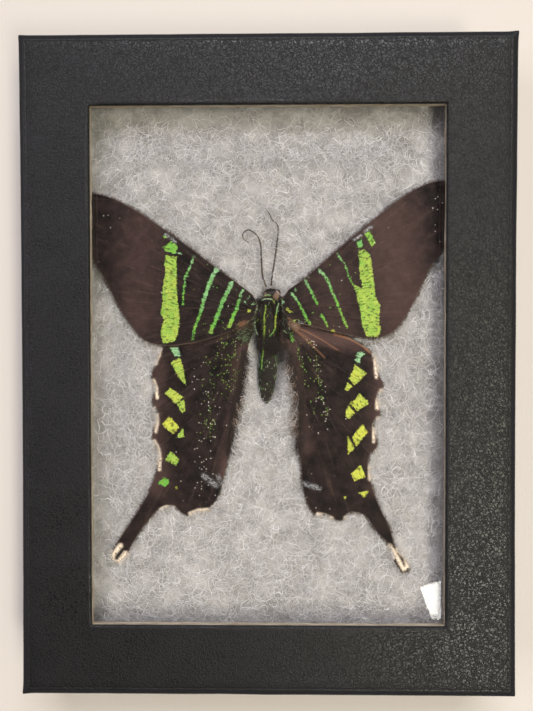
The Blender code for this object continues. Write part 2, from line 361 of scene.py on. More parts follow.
@dataclass(frozen=True)
class Leatherette:
    """Card covered with black paper, embossed in a leather grain: satin pebbles with fine creases darkened by
    painted shade, and a rim strip lightened by a painted highlight.
    """

    base: str = "1A191E"
    # The crease colour is painted shade in the grain's hollows.
    shaded_crease: str = "060508"
    pebble_mm: float = 0.75
    worm_mm: float = 1.05
    pore_mm: float = 0.3
    grain_depth_mm: float = 0.03
    roughness: float = 0.36
    # The rim strip's lighter colour is a painted highlight; worn_roughness is the strip's smoother paper.
    wear_and_highlight: str = "2B2B2F"
    worn_roughness: float = 0.26
    rim_mm: Place = (51.3, 68.8, 17.7)
    rim_soft_mm: float = 0.15

    def rim_wear_and_highlight(self, tree: bpy.types.NodeTree, place: tuple) -> bpy.types.Node:
        """Finds the strip along the lid's rim, where the turned paper is pulled flat and rubbed shiny, and
        where its lighter colour is a painted highlight.

        Args:
            tree: the material's node tree.
            place: the object coordinates.

        Returns:
            The node that gives 1 on the strip and 0 elsewhere.
        """
        parts = add_node(tree, "VectorMath", {"operation": "ABSOLUTE"}, {0: place})
        parts = add_node(tree, "SeparateXYZ", {}, {0: parts})
        steps = [
            add_node(
                tree,
                "MapRange",
                SMOOTH_STEP,
                {"Value": (parts, name), "From Min": (start - self.rim_soft_mm) * MM,
                 "From Max": (start + self.rim_soft_mm) * MM},
            )
            for name, start in zip("XYZ", self.rim_mm)
        ]
        sides = add_node(tree, "Math", {"operation": "MAXIMUM"}, {0: steps[0], 1: steps[1]})
        return add_node(tree, "Math", {"operation": "MULTIPLY"}, {0: sides, 1: steps[2]})

    def build(self) -> Material:
        """Makes the material."""
        made, tree = new_material("embossed_black_leatherette_paper")
        place = (add_node(tree, "TexCoord"), "Object")
        drift = add_node(tree, "TexNoise", {}, {"Vector": place, "Scale": 1 / (9 * MM), "Detail": 2.0})
        warp = add_node(tree, "TexNoise", {}, {"Vector": place, "Scale": 1 / (0.9 * MM), "Detail": 3.0})
        middle = (0.5, 0.5, 0.5)
        warp = add_node(tree, "VectorMath", {"operation": "SUBTRACT"}, {0: (warp, "Color"), 1: middle})
        warp = add_node(tree, "VectorMath", {"operation": "SCALE"}, {0: warp, "Scale": 1.3 * MM})
        bent = add_node(tree, "VectorMath", {"operation": "ADD"}, {0: place, 1: warp})
        pebble = add_node(
            tree,
            "TexVoronoi",
            {"feature": "DISTANCE_TO_EDGE"},
            {"Vector": bent, "Scale": 1 / (self.pebble_mm * MM)},
        )
        shaded_crease = add_node(
            tree,
            "MapRange",
            SMOOTH_STEP,
            {"Value": (pebble, "Distance"), "From Min": 0.0, "From Max": 0.2, "To Min": 0.2},
        )
        worm = add_node(
            tree,
            "TexNoise",
            {},
            {"Vector": place, "Scale": 1 / (self.worm_mm * MM), "Detail": 1.5, "Distortion": 0.9},
        )
        ridge = add_node(tree, "Math", {"operation": "SUBTRACT"}, {0: worm, 1: 0.5})
        ridge = add_node(tree, "Math", {"operation": "ABSOLUTE"}, {0: ridge})
        ridge = add_node(tree, "MapRange", SMOOTH_STEP, {"Value": ridge, "From Min": 0.0, "From Max": 0.07})
        pores = add_node(
            tree, "TexNoise", {}, {"Vector": place, "Scale": 1 / (self.pore_mm * MM), "Detail": 2.0}
        )
        height = add_node(tree, "Math", {"operation": "MULTIPLY_ADD"}, {0: ridge, 1: 0.7, 2: shaded_crease})
        height = add_node(tree, "Math", {"operation": "MULTIPLY_ADD"}, {0: pores, 1: 0.4, 2: height})
        wear_and_highlight = self.rim_wear_and_highlight(tree, place)
        grain = add_node(tree, "Math", {"operation": "MULTIPLY_ADD"}, {0: wear_and_highlight, 1: -0.85, 2: 1.0})
        bump = add_node(
            tree, "Bump", {}, {"Height": height, "Strength": grain, "Distance": self.grain_depth_mm * MM}
        )
        # deep is low in the creases and worm lines, where the darker colour is painted shade; the rim strip
        # is kept clear of it.
        deep = add_node(tree, "Math", {"operation": "MULTIPLY"}, {0: shaded_crease, 1: ridge})
        deep = add_node(tree, "Math", {"operation": "MAXIMUM"}, {0: deep, 1: wear_and_highlight})
        colour = add_node(
            tree, "Mix", MIX_COLOURS, {FACTOR: deep, FIRST: linear(self.shaded_crease), SECOND: linear(self.base)}
        )
        patchy = add_node(
            tree,
            "MapRange",
            {},
            {"Value": drift, "From Min": 0.3, "From Max": 0.7, "To Min": 0.8, "To Max": 1.25},
        )
        colour = add_node(
            tree,
            "Mix",
            MIX_COLOURS | {"blend_type": "MULTIPLY"},
            {FACTOR: 1.0, FIRST: (colour, MIXED), SECOND: patchy},
        )
        # Painted highlight: the rim strip takes the lighter colour.
        colour = add_node(
            tree, "Mix", MIX_COLOURS, {FACTOR: wear_and_highlight, FIRST: (colour, MIXED), SECOND: linear(self.wear_and_highlight)}
        )
        rough = add_node(
            tree,
            "MapRange",
            {},
            {
                "Value": drift,
                "From Min": 0.3,
                "From Max": 0.7,
                "To Min": self.roughness - 0.04,
                "To Max": self.roughness + 0.06,
            },
        )
        rough = add_node(
            tree, "Mix", {"data_type": "FLOAT"}, {0: deep, 2: 0.7, 3: rough}
        )
        rough = add_node(tree, "Mix", {"data_type": "FLOAT"}, {0: wear_and_highlight, 2: rough, 3: self.worn_roughness})
        shader = add_node(
            tree,
            "BsdfPrincipled",
            {},
            {
                "Base Color": (colour, MIXED),
                "Roughness": rough,
                "Normal": bump,
                "Specular IOR Level": 0.62,
            },
        )
        add_node(tree, "OutputMaterial", {}, {"Surface": shader})
        return made


@dataclass(frozen=True)
class CutBoard:
    """Raw greyboard edge where the knife cut the window: cream, layered and a little furry."""

    light: str = "D9CDB9"
    dark: str = "A2907A"
    paper: str = "26262A"
    ply_mm: float = 0.35
    window_above_mm: float = 12.0

    def build(self) -> Material:
        """Makes the material."""
        made, tree = new_material("knife_cut_cream_board")
        place = (add_node(tree, "TexCoord"), "Object")
        ply = add_node(tree, "Mapping", {}, {"Vector": place, "Scale": (0.12, 0.12, 1.0)})
        layers = add_node(
            tree, "TexNoise", {}, {"Vector": ply, "Scale": 1 / (self.ply_mm * MM), "Detail": 3.0}
        )
        level = add_node(tree, "MapRange", {}, {"Value": layers, "From Min": 0.35, "From Max": 0.65})
        colour = add_node(
            tree, "Mix", MIX_COLOURS, {FACTOR: level, FIRST: linear(self.dark), SECOND: linear(self.light)}
        )
        height = (add_node(tree, "SeparateXYZ", {}, {0: place}), "Z")
        above = {0: height, 1: self.window_above_mm * MM}
        is_window = add_node(tree, "Math", {"operation": "GREATER_THAN"}, above)
        colour = add_node(
            tree, "Mix", MIX_COLOURS, {FACTOR: is_window, FIRST: linear(self.paper), SECOND: (colour, MIXED)}
        )
        bump = add_node(tree, "Bump", {}, {"Height": layers, "Strength": 0.5, "Distance": 0.08 * MM})
        shader = add_node(
            tree, "BsdfPrincipled", {}, {"Base Color": (colour, MIXED), "Roughness": 0.92, "Normal": bump}
        )
        add_node(tree, "OutputMaterial", {}, {"Surface": shader})
        return made


@dataclass(frozen=True)
class LinedCard:
    """Plain grey card on the inside of the box: matt and faintly mottled."""

    light: str = "8C8880"
    dark: str = "6F6B64"

    def build(self) -> Material:
        """Makes the material."""
        made, tree = new_material("plain_grey_card")
        place = (add_node(tree, "TexCoord"), "Object")
        fleck = add_node(tree, "TexNoise", {}, {"Vector": place, "Scale": 1 / (0.6 * MM), "Detail": 4.0})
        colour = add_node(
            tree, "Mix", MIX_COLOURS, {FACTOR: fleck, FIRST: linear(self.dark), SECOND: linear(self.light)}
        )
        shader = add_node(tree, "BsdfPrincipled", {}, {"Base Color": (colour, MIXED), "Roughness": 0.9})
        add_node(tree, "OutputMaterial", {}, {"Surface": shader})
        return made


@dataclass(frozen=True)
class WindowGlass:
    """Float glass, polished and clear, which lets lamps shine on what lies under it."""

    tint: str = "FFFEFD"
    lamp_tint: str = "F6F5F4"
    roughness: float = 0.015

    def build(self) -> Material:
        """Makes the material."""
        made, tree = new_material("polished_float_glass")
        glass = add_node(
            tree,
            "BsdfPrincipled",
            {},
            {
                "Base Color": linear(self.tint),
                "Roughness": self.roughness,
                "IOR": 1.5,
                "Transmission Weight": 1.0,
            },
        )
        clear = add_node(tree, "BsdfTransparent", {}, {"Color": linear(self.lamp_tint)})
        lamp_ray = (add_node(tree, "LightPath"), "Is Shadow Ray")
        shader = add_node(tree, "MixShader", {}, {0: lamp_ray, 1: glass, 2: clear})
        add_node(tree, "OutputMaterial", {}, {"Surface": shader})
        return made


@dataclass(frozen=True)
class Wadding:
    """Carded polyester fibre: greyish white, matt, with soft clumps."""

    light: str = "C2C0C1"
    dark: str = "949291"
    clump_mm: float = 3.6
    fibre_mm: float = 0.5
    soak_mm: float = 2.5

    def build(self) -> Material:
        """Makes the material of the pad's mass."""
        made, tree = new_material("carded_polyester_wadding")
        place = (add_node(tree, "TexCoord"), "Object")
        clump = add_node(
            tree,
            "TexNoise",
            {},
            {"Vector": place, "Scale": 1 / (self.clump_mm * MM), "Detail": 5.0, "Roughness": 0.6},
        )
        fibre = add_node(
            tree,
            "TexNoise",
            {},
            {"Vector": place, "Scale": 1 / (self.fibre_mm * MM), "Detail": 3.0, "Distortion": 1.6},
        )
        both = add_node(tree, "Math", {"operation": "MULTIPLY_ADD"}, {0: fibre, 1: 0.6, 2: clump})
        # The colour darkens where the same noise lowers the bump, so the hollows between clumps carry painted
        # shade.
        level = add_node(tree, "MapRange", SMOOTH_STEP, {"Value": both, "From Min": 0.55, "From Max": 1.05})
        colour = add_node(
            tree, "Mix", MIX_COLOURS, {FACTOR: level, FIRST: linear(self.dark), SECOND: linear(self.light)}
        )
        bump = add_node(tree, "Bump", {}, {"Height": both, "Strength": 0.6, "Distance": 0.5 * MM})
        shader = add_node(
            tree,
            "BsdfPrincipled",
            {},
            {
                "Base Color": (colour, MIXED),
                "Roughness": 1.0,
                "Normal": bump,
                "Subsurface Weight": 0.8,
                "Subsurface Radius": (1.0, 1.0, 1.0),
                "Subsurface Scale": self.soak_mm * MM,
            },
        )
        add_node(tree, "OutputMaterial", {}, {"Surface": shader})
        return made


@dataclass(frozen=True)
class PlainFibre:
    """A drawn polyester fibre: white with a soft gloss."""

    colour: str = "FAFAFF"
    dull: str = "B4B2B6"

    def build(self) -> Material:
        """Makes the material of the loose fibres."""
        made, tree = new_material("drawn_polyester_fibre")
        shade = add_node(tree, "Attribute", {"attribute_name": "shade"})
        colour = add_node(
            tree,
            "Mix",
            MIX_COLOURS,
            {FACTOR: (shade, "Fac"), FIRST: linear(self.dull), SECOND: linear(self.colour)},
        )
        shader = add_node(tree, "BsdfPrincipled", {}, {"Base Color": (colour, MIXED), "Roughness": 0.6})
        add_node(tree, "OutputMaterial", {}, {"Surface": shader})
        return made


@dataclass(frozen=True)
class WingScales:
    """Dry wing membrane tiled with scales: velvet brown-black, with bands of bright green and worn spots."""

    black: str = "090607"
    brown: str = "4B3937"
    tan: str = "93694C"
    streak: str = "6A5750"
    vein: str = "5C463C"
    rim: str = "857063"
    mint: str = "98C49A"
    green: str = "68AE46"
    lime: str = "A6BC54"
    yellow: str = "C6CA50"
    rubbed: str = "A9ADB4"
    cream: str = "E6D6C4"
    fleck: str = "D8D6CE"
    scale_mm: float = 0.22

    def build(self) -> Material:
        """Makes the material, which reads the wing's own attributes."""
        made, tree = new_material("scaled_moth_wing")
        place = (add_node(tree, "TexCoord"), "Object")
        row = (add_node(tree, "UVMap", {"uv_map": "rows"}), "UV")
        facts = {
            name: (add_node(tree, "Attribute", {"attribute_name": name}), "Fac")
            for name in ("mark", "tone", "dust", "brown", "tan", "vein", "edge", "pale", "cream", "fleck")
        }
        mottle = add_node(
            tree, "TexNoise", {}, {"Vector": place, "Scale": 1 / (2.4 * MM), "Detail": 5.0, "Roughness": 0.65}
        )
        tile = add_node(
            tree, "TexVoronoi", {"feature": "F1"}, {"Vector": place, "Scale": 1 / (self.scale_mm * MM)}
        )
        ragged = add_node(tree, "TexNoise", {}, {"Vector": place, "Scale": 1 / (0.3 * MM), "Detail": 3.0})
        streak_rows = add_node(tree, "Mapping", {}, {"Vector": row, "Scale": (0.06, 1.0, 1.0)})
        streak = add_node(tree, "TexNoise", {}, {"Vector": streak_rows, "Scale": 2.2, "Detail": 4.0})

        # The ground: brown-black, warmer where it is brown, with faint streaks out from the root
        warm = add_node(
            tree,
            "MapRange",
            {},
            {"Value": mottle, "From Min": 0.35, "From Max": 0.75, "To Min": 0.0, "To Max": 0.4},
        )
        warm = add_node(tree, "Math", {"operation": "ADD", "use_clamp": True}, {0: warm, 1: facts["brown"]})
        ground = add_node(
            tree, "Mix", MIX_COLOURS, {FACTOR: warm, FIRST: linear(self.black), SECOND: linear(self.brown)}
        )
        ground = add_node(
            tree, "Mix", MIX_COLOURS, {FACTOR: facts["tan"], FIRST: (ground, MIXED), SECOND: linear(self.tan)}
        )
        lines = add_node(
            tree,
            "MapRange",
            SMOOTH_STEP,
            {"Value": streak, "From Min": 0.55, "From Max": 0.72, "To Max": 0.16},
        )
        ground = add_node(
            tree, "Mix", MIX_COLOURS, {FACTOR: lines, FIRST: (ground, MIXED), SECOND: linear(self.streak)}
        )
        veins = add_node(
            tree,
            "MapRange",
            SMOOTH_STEP,
            {"Value": facts["vein"], "From Min": 0.02, "From Max": 0.13, "To Min": 0.22, "To Max": 0.0},
        )
        ground = add_node(
            tree, "Mix", MIX_COLOURS, {FACTOR: veins, FIRST: (ground, MIXED), SECOND: linear(self.vein)}
        )
        rim = add_node(
            tree,
            "MapRange",
            SMOOTH_STEP,
            {"Value": facts["edge"], "From Min": 0.04, "From Max": 0.2, "To Min": 0.35, "To Max": 0.0},
        )
        ground = add_node(
            tree, "Mix", MIX_COLOURS, {FACTOR: rim, FIRST: (ground, MIXED), SECOND: linear(self.rim)}
        )

        # The bands: the signed distance is made ragged by scale-sized noise, and cracked along the veins
        wobble = add_node(
            tree,
            "MapRange",
            {},
            {"Value": ragged, "From Min": 0.25, "From Max": 0.75, "To Min": -0.26, "To Max": 0.26},
        )
        reach = add_node(tree, "Math", {"operation": "ADD"}, {0: facts["mark"], 1: wobble})
        band = add_node(tree, "MapRange", SMOOTH_STEP, {"Value": reach, "From Min": -0.06, "From Max": 0.07})
        crack = add_node(
            tree,
            "MapRange",
            SMOOTH_STEP,
            {"Value": facts["vein"], "From Min": 0.03, "From Max": 0.14, "To Min": 0.35, "To Max": 1.0},
        )
        band = add_node(tree, "Math", {"operation": "MULTIPLY"}, {0: band, 1: crack})
        speck = add_node(
            tree, "TexVoronoi", {"feature": "F1"}, {"Vector": place, "Scale": 1 / (0.42 * MM)}
        )
        lot = (add_node(tree, "SeparateColor", {}, {0: (speck, "Color")}), "Red")
        drawn = add_node(tree, "Math", {"operation": "LESS_THAN"}, {0: lot, 1: facts["dust"]})
        near = add_node(
            tree,
            "MapRange",
            SMOOTH_STEP,
            {"Value": (speck, "Distance"), "From Min": 0.22, "From Max": 0.42, "To Min": 0.85, "To Max": 0.0},
        )
        grain = add_node(tree, "Math", {"operation": "MULTIPLY"}, {0: drawn, 1: near})
        cover = add_node(tree, "Math", {"operation": "MAXIMUM"}, {0: band, 1: grain})

        shift = add_node(tree, "Math", {"operation": "SUBTRACT"}, {0: mottle, 1: 0.5})
        shift = add_node(tree, "Math", {"operation": "MULTIPLY_ADD"}, {0: shift, 1: 0.5, 2: facts["tone"]})
        hue = add_node(tree, "ValToRGB", {}, {"Fac": shift})
        ramp = hue.color_ramp
        ramp.elements[0].color = linear(self.mint)
        ramp.elements[1].color = linear(self.yellow)
        ramp.elements.new(0.35).color = linear(self.green)
        ramp.elements.new(0.7).color = linear(self.lime)
        # Painted shade between scales: each scale is darker towards its edge, in step with the bump that
        # sinks it there.
        tiles = add_node(
            tree,
            "MapRange",
            {},
            {"Value": (tile, "Distance"), "From Min": 0.1, "From Max": 0.75, "To Min": 1.08, "To Max": 0.68},
        )
        row_lines = add_node(tree, "Mapping", {}, {"Vector": row, "Scale": (0.3, 1.0, 1.0)})
        split = add_node(tree, "TexNoise", {}, {"Vector": row_lines, "Scale": 3.4, "Detail": 2.0})
        split = add_node(
            tree,
            "MapRange",
            SMOOTH_STEP,
            {"Value": split, "From Min": 0.36, "From Max": 0.48, "To Min": 0.32},
        )
        tiles = add_node(tree, "Math", {"operation": "MULTIPLY"}, {0: tiles, 1: split})
        bright = add_node(
            tree, "Mix", MIX_COLOURS | {"blend_type": "MULTIPLY"}, {FACTOR: 1.0, FIRST: hue, SECOND: tiles}
        )
        colour = add_node(
            tree, "Mix", MIX_COLOURS, {FACTOR: cover, FIRST: (ground, MIXED), SECOND: (bright, MIXED)}
        )
        wear_and_highlight = add_node(
            tree, "MapRange", SMOOTH_STEP, {"Value": ragged, "From Min": 0.38, "From Max": 0.6}
        )
        wear_and_highlight = add_node(tree, "Math", {"operation": "MULTIPLY"}, {0: wear_and_highlight, 1: facts["pale"]})
        colour = add_node(
            tree, "Mix", MIX_COLOURS, {FACTOR: wear_and_highlight, FIRST: (colour, MIXED), SECOND: linear(self.rubbed)}
        )
        crumb = add_node(tree, "TexVoronoi", {"feature": "F1"}, {"Vector": place, "Scale": 1 / (0.5 * MM)})
        lot = (add_node(tree, "SeparateColor", {}, {0: (crumb, "Color")}), "Red")
        drawn = add_node(tree, "Math", {"operation": "LESS_THAN"}, {0: lot, 1: facts["fleck"]})
        near = add_node(
            tree,
            "MapRange",
            SMOOTH_STEP,
            {"Value": (crumb, "Distance"), "From Min": 0.14, "From Max": 0.3, "To Min": 0.9, "To Max": 0.0},
        )
        crumbs = add_node(tree, "Math", {"operation": "MULTIPLY"}, {0: drawn, 1: near})
        colour = add_node(
            tree, "Mix", MIX_COLOURS, {FACTOR: crumbs, FIRST: (colour, MIXED), SECOND: linear(self.fleck)}
        )
        lit = add_node(tree, "MapRange", SMOOTH_STEP, {"Value": ragged, "From Min": 0.3, "From Max": 0.5})
        lit = add_node(tree, "Math", {"operation": "MULTIPLY"}, {0: lit, 1: facts["cream"]})
        colour = add_node(
            tree, "Mix", MIX_COLOURS, {FACTOR: lit, FIRST: (colour, MIXED), SECOND: linear(self.cream)}
        )

        ribs = add_node(
            tree,
            "MapRange",
            SMOOTH_STEP,
            {"Value": facts["vein"], "From Min": 0.0, "From Max": 0.28, "To Min": 1.0, "To Max": 0.0},
        )
        height = add_node(
            tree, "Math", {"operation": "MULTIPLY_ADD"}, {0: (tile, "Distance"), 1: -0.5, 2: ribs}
        )
        bump = add_node(tree, "Bump", {}, {"Height": height, "Strength": 0.5, "Distance": 0.05 * MM})
        rough = add_node(
            tree, "MapRange", {}, {"Value": cover, "To Min": 0.62, "To Max": 0.46}
        )
        shader = add_node(
            tree,
            "BsdfPrincipled",
            {},
            {
                "Base Color": (colour, MIXED),
                "Roughness": rough,
                "Normal": bump,
                "Specular IOR Level": 0.12,
            },
        )
        add_node(tree, "OutputMaterial", {}, {"Surface": shader})
        return made


@dataclass(frozen=True)
class MothHair:
    """Dry hair and hair-like scales: dark brown to cream and green, each its own shade, with a soft sheen."""

    def build(self) -> Material:
        """Makes the material, which reads each strand's shade: 0 dark, 0.5 brown, 1 cream, and its green."""
        made, tree = new_material("dry_moth_hair")
        shade = add_node(tree, "Attribute", {"attribute_name": "shade"})
        green = add_node(tree, "Attribute", {"attribute_name": "green"})
        tone = add_node(tree, "Attribute", {"attribute_name": "tone"})
        body = add_node(tree, "ValToRGB", {}, {"Fac": (shade, "Fac")})
        body.color_ramp.elements[0].color = linear("100C0B")
        body.color_ramp.elements[1].color = linear("EDE6DA")
        body.color_ramp.elements.new(0.4).color = linear("3C2D27")
        body.color_ramp.elements.new(0.6).color = linear("96765E")
        bright = add_node(tree, "ValToRGB", {}, {"Fac": (tone, "Fac")})
        bright.color_ramp.elements[0].color = linear("B9CDB0")
        bright.color_ramp.elements[1].color = linear("A8B440")
        bright.color_ramp.elements.new(0.5).color = linear("66A044")
        colour = add_node(
            tree, "Mix", MIX_COLOURS, {FACTOR: (green, "Fac"), FIRST: body, SECOND: bright}
        )
        shader = add_node(
            tree,
            "BsdfPrincipled",
            {},
            {"Base Color": (colour, MIXED), "Roughness": 0.55, "Specular IOR Level": 0.4},
        )
        add_node(tree, "OutputMaterial", {}, {"Surface": shader})
        return made


@dataclass(frozen=True)
class Horn:
    """Dry insect horn: very dark brown, satin, ringed by its joints."""

    colour: str = "2A211D"
    light: str = "4A3B33"

    def build(self) -> Material:
        """Makes the material."""
        made, tree = new_material("dry_insect_horn")
        place = (add_node(tree, "TexCoord"), "Object")
        mottle = add_node(tree, "TexNoise", {}, {"Vector": place, "Scale": 1 / (0.5 * MM), "Detail": 3.0})
        colour = add_node(
            tree, "Mix", MIX_COLOURS, {FACTOR: mottle, FIRST: linear(self.colour), SECOND: linear(self.light)}
        )
        bump = add_node(tree, "Bump", {}, {"Height": mottle, "Strength": 0.4, "Distance": 0.05 * MM})
        shader = add_node(
            tree, "BsdfPrincipled", {}, {"Base Color": (colour, MIXED), "Roughness": 0.42, "Normal": bump}
        )
        add_node(tree, "OutputMaterial", {}, {"Surface": shader})
        return made


@dataclass(frozen=True)
class CompoundEye:
    """A dried compound eye: fine brown facets, drawn a little coarse, with a dull gloss."""

    colour: str = "6E5647"
    dark: str = "3A2C25"
    facet_mm: float = 0.14

    def build(self) -> Material:
        """Makes the material."""
        made, tree = new_material("dried_compound_eye")
        place = (add_node(tree, "TexCoord"), "Object")
        facet = add_node(tree, "TexVoronoi", {}, {"Vector": place, "Scale": 1 / (self.facet_mm * MM)})
        blotch = add_node(tree, "TexNoise", {}, {"Vector": place, "Scale": 1 / (0.9 * MM), "Detail": 3.0})
        level = add_node(tree, "MapRange", {}, {"Value": blotch, "From Min": 0.35, "From Max": 0.6})
        colour = add_node(
            tree, "Mix", MIX_COLOURS, {FACTOR: level, FIRST: linear(self.dark), SECOND: linear(self.colour)}
        )
        bump = add_node(
            tree,
            "Bump",
            {"invert": True},
            {"Height": (facet, "Distance"), "Strength": 0.5, "Distance": 0.05 * MM},
        )
        shader = add_node(
            tree, "BsdfPrincipled", {}, {"Base Color": (colour, MIXED), "Roughness": 0.5, "Normal": bump}
        )
        add_node(tree, "OutputMaterial", {}, {"Surface": shader})
        return made


@dataclass(frozen=True)
class PinSteel:
    """Nickel-plated pin steel: bright, with fine drawn lines."""

    colour: str = "C9C9C4"

    def build(self) -> Material:
        """Makes the material."""
        made, tree = new_material("nickel_plated_pin_steel")
        place = (add_node(tree, "TexCoord"), "Object")
        scuff = add_node(tree, "TexNoise", {}, {"Vector": place, "Scale": 1 / (0.2 * MM), "Detail": 2.0})
        rough = add_node(tree, "MapRange", {}, {"Value": scuff, "To Min": 0.18, "To Max": 0.4})
        shader = add_node(
            tree,
            "BsdfPrincipled",
            {},
            {"Base Color": linear(self.colour), "Metallic": 1.0, "Roughness": rough},
        )
        add_node(tree, "OutputMaterial", {}, {"Surface": shader})
        return made


@dataclass(frozen=True)
class TableTop:
    """The plain pale surface that the case lies on."""

    colour: str = "F6EDE6"

    def build(self) -> Material:
        """Makes the material."""
        made, tree = new_material("plain_pale_table")
        shader = add_node(tree, "BsdfPrincipled", {}, {"Base Color": linear(self.colour), "Roughness": 0.85})
        add_node(tree, "OutputMaterial", {}, {"Surface": shader})
        return made


# ----------------------------------------------------------------------------------------------------------
# The case


@dataclass
class Lid:
    """The lid: a card shell covered in leatherette, whose window shows the cut edge of the raw board."""

    border: float = 15.0
    wall: float = 1.9
    edge: float = 0.4
    cell: float = 3.5
    bow: float = 0.25
    brow: float = 1.45
    brow_drop: float = 0.6
    groove_in: float = 1.7
    groove_deep: float = 0.1
    near_edge: tuple[float, ...] = (0.9, 1.2, 1.4, 1.55, 1.7, 1.85, 2.1)
    near_window: tuple[float, ...] = (0.35, 0.8, 1.5)
    roll: tuple[Point, ...] = ((0.2, 0.04), (0.18, 0.12), (0.1, 0.22), (0.03, 0.3))
    folds: tuple[tuple[int, int, float], ...] = ((-1, 1, 0.15), (1, 1, 0.35), (-1, -1, 0.3), (1, -1, 0.05))
    fold_reach: float = 1.3
    waves: tuple[Point, Point] = ((11, 0.12), (4, 0.05))
    groove_wide: float = 0.16
    torn: Place = (0.12, 0.16, 0.1)

    def skin(self) -> bmesh.types.BMesh:
        """Makes the outer skin, open below and at the window.

        Returns:
            The skin, finely divided, with its rounded edges.
        """
        shape, low, high = box_shape("lid")
        bmesh.ops.delete(shape, geom=[f for f in shape.faces if f.normal.z < -0.5], context="FACES")
        top = [f for f in shape.faces if f.normal.z > 0.5]
        inset = (self.border - self.roll_width()) * MM
        bmesh.ops.inset_region(shape, faces=top, thickness=inset, use_even_offset=True)
        bmesh.ops.delete(shape, geom=top, context="FACES")
        sharp = [e for e in shape.edges if len(e.link_faces) == 2 and e.calc_face_angle(0.0) > 1.0]
        bmesh.ops.bevel(
            shape,
            geom=sharp,
            offset=self.edge * MM,
            affect="EDGES",
            segments=5,
            profile=0.5,
            material=-1,
            clamp_overlap=True,
        )
        for axis in range(3):
            for place in self.cuts(axis, low[axis] / MM, high[axis] / MM):
                cut_across(shape, axis, place, 1e-6)
        return shape

    def roll_width(self) -> float:
        """How far the covering rolls in over the window's edge, in millimetres."""
        return sum(step for step, _ in self.roll)

    def cuts(self, axis: int, low: float, high: float) -> list[float]:
        """Where the skin is divided along an axis: evenly, and finely near its edges and the window.

        Args:
            axis: 0, 1 or 2.
            low: the skin's lowest place, in millimetres.
            high: its highest.

        Returns:
            The places in millimetres.
        """
        middle, reach = (low + high) / 2, (high - low) / 2
        lines = int((reach - 3) / self.cell)
        even = [middle + i * self.cell for i in range(-lines, lines + 1)]
        if axis == 2:
            return even
        window = reach - self.border + self.roll_width()
        fine = [reach - d for d in self.near_edge] + [window + d for d in self.near_window]
        return even + [middle + d for d in fine] + [middle - d for d in fine]

    def settle(self, shape: bmesh.types.BMesh) -> None:
        """Bows the long walls, sinks the crease inside the edges, waves the paper and raises its folds.

        Args:
            shape: the outer skin.
        """
        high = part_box("lid")[1]
        for vert in shape.verts:
            place = vert.co
            across, along = place.x / high.x, place.y / high.y
            from_edge = min(high.x - abs(place.x), high.y - abs(place.y)) / MM
            from_top = (high.z - place.z) / MM
            wave = sum(noise.noise(place / (size * MM)) * rise for size, rise in self.waves)
            if from_top < 0.5 and from_edge < self.border - self.roll_width() - 0.1:
                away = (from_edge - self.groove_in) / self.groove_wide
                place.z += (wave - self.groove_deep * math.exp(-(away**2))) * MM
            if from_top < 2 and from_edge < self.brow:
                place.z -= self.brow_drop * (1 - from_edge / self.brow) * (1 - from_top / 2) * MM
            if abs(across) > 0.8:
                place.x -= math.copysign(self.bow * MM * (1 - along**2), place.x) * (abs(across) - 0.8) / 0.2
            for side_x, side_y, rise in self.folds:
                corner = Vector((side_x * high.x, side_y * high.y, high.z))
                gap = (place - corner).length / MM
                lift = rise * math.exp(-((gap / self.fold_reach) ** 2))
                place += Vector((side_x * 0.5, side_y * 0.6, 0.5)) * lift * MM

    def step(
        self,
        shape: bmesh.types.BMesh,
        loop: list,
        half: Vector,
        move: Point,
        material: int,
        jitter: float = 0.0,
    ) -> tuple[list, Vector]:
        """Extrudes a rectangular loop of edges inwards and down.

        Args:
            shape: the lid.
            loop: the loop's edges.
            half: half the loop's width and length, in metres.
            move: how far inwards and down, in millimetres.
            material: the new faces' material number.
            jitter: how uneven the new loop is, in millimetres.

        Returns:
            The new loop and its half size.
        """
        made = bmesh.ops.extrude_edge_only(shape, edges=loop)["geom"]
        inward, down = move[0] * MM, move[1] * MM
        for vert in (g for g in made if isinstance(g, bmesh.types.BMVert)):
            rough = noise.noise(vert.co / (2.3 * MM)) * jitter * MM
            for axis in (0, 1):
                if abs(vert.co[axis]) > half[axis] - 0.4 * MM:
                    vert.co[axis] -= math.copysign(1, vert.co[axis]) * (inward + rough)
            vert.co.z -= down
        for face in (g for g in made if isinstance(g, bmesh.types.BMFace)):
            face.material_index = material
        fresh = [g for g in made if isinstance(g, bmesh.types.BMEdge) and g.is_boundary]
        return fresh, Vector((half.x - inward, half.y - inward))

    def build(self, paper: Material, card: Material, cut: Material) -> None:
        """Builds the lid and dresses it.

        Args:
            paper: the covering.
            card: the inside.
            cut: the raw edge of the window.
        """
        low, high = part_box("lid")
        shape = self.skin()
        self.settle(shape)
        bottom = [e for e in shape.edges if e.is_boundary and e.verts[0].co.z < low.z + 1 * MM]
        loop = [e for e in shape.edges if e.is_boundary and e.verts[0].co.z > low.z + 9 * MM]
        edge = (self.border - self.roll_width()) * MM
        half = Vector((high.x - edge, high.y - edge))
        for move in self.roll:
            loop, half = self.step(shape, loop, half, move, 0)
        depth = self.wall - sum(down for _, down in self.roll)
        lip, ragged, rough = self.torn
        loop, half = self.step(shape, loop, half, (0.0, lip), 2, ragged)
        loop, half = self.step(shape, loop, half, (0.0, depth - lip), 2, rough)
        loop, half = self.step(shape, loop, half, (self.wall - self.border, 0.0), 1)
        loop, half = self.step(shape, loop, half, (0.0, (high.z - low.z) / MM - self.wall), 1)
        for vert in {v for e in loop for v in e.verts}:
            vert.co.z = low.z
        bmesh.ops.bridge_loops(shape, edges=loop + bottom)
        lid = piece_from_bmesh("lid_shell", shape, [paper, card, cut])
        lid.data.set_sharp_from_angle(angle=math.radians(48))
        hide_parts("lid")
        LOG.info("lid: %d faces", len(lid.data.polygons))


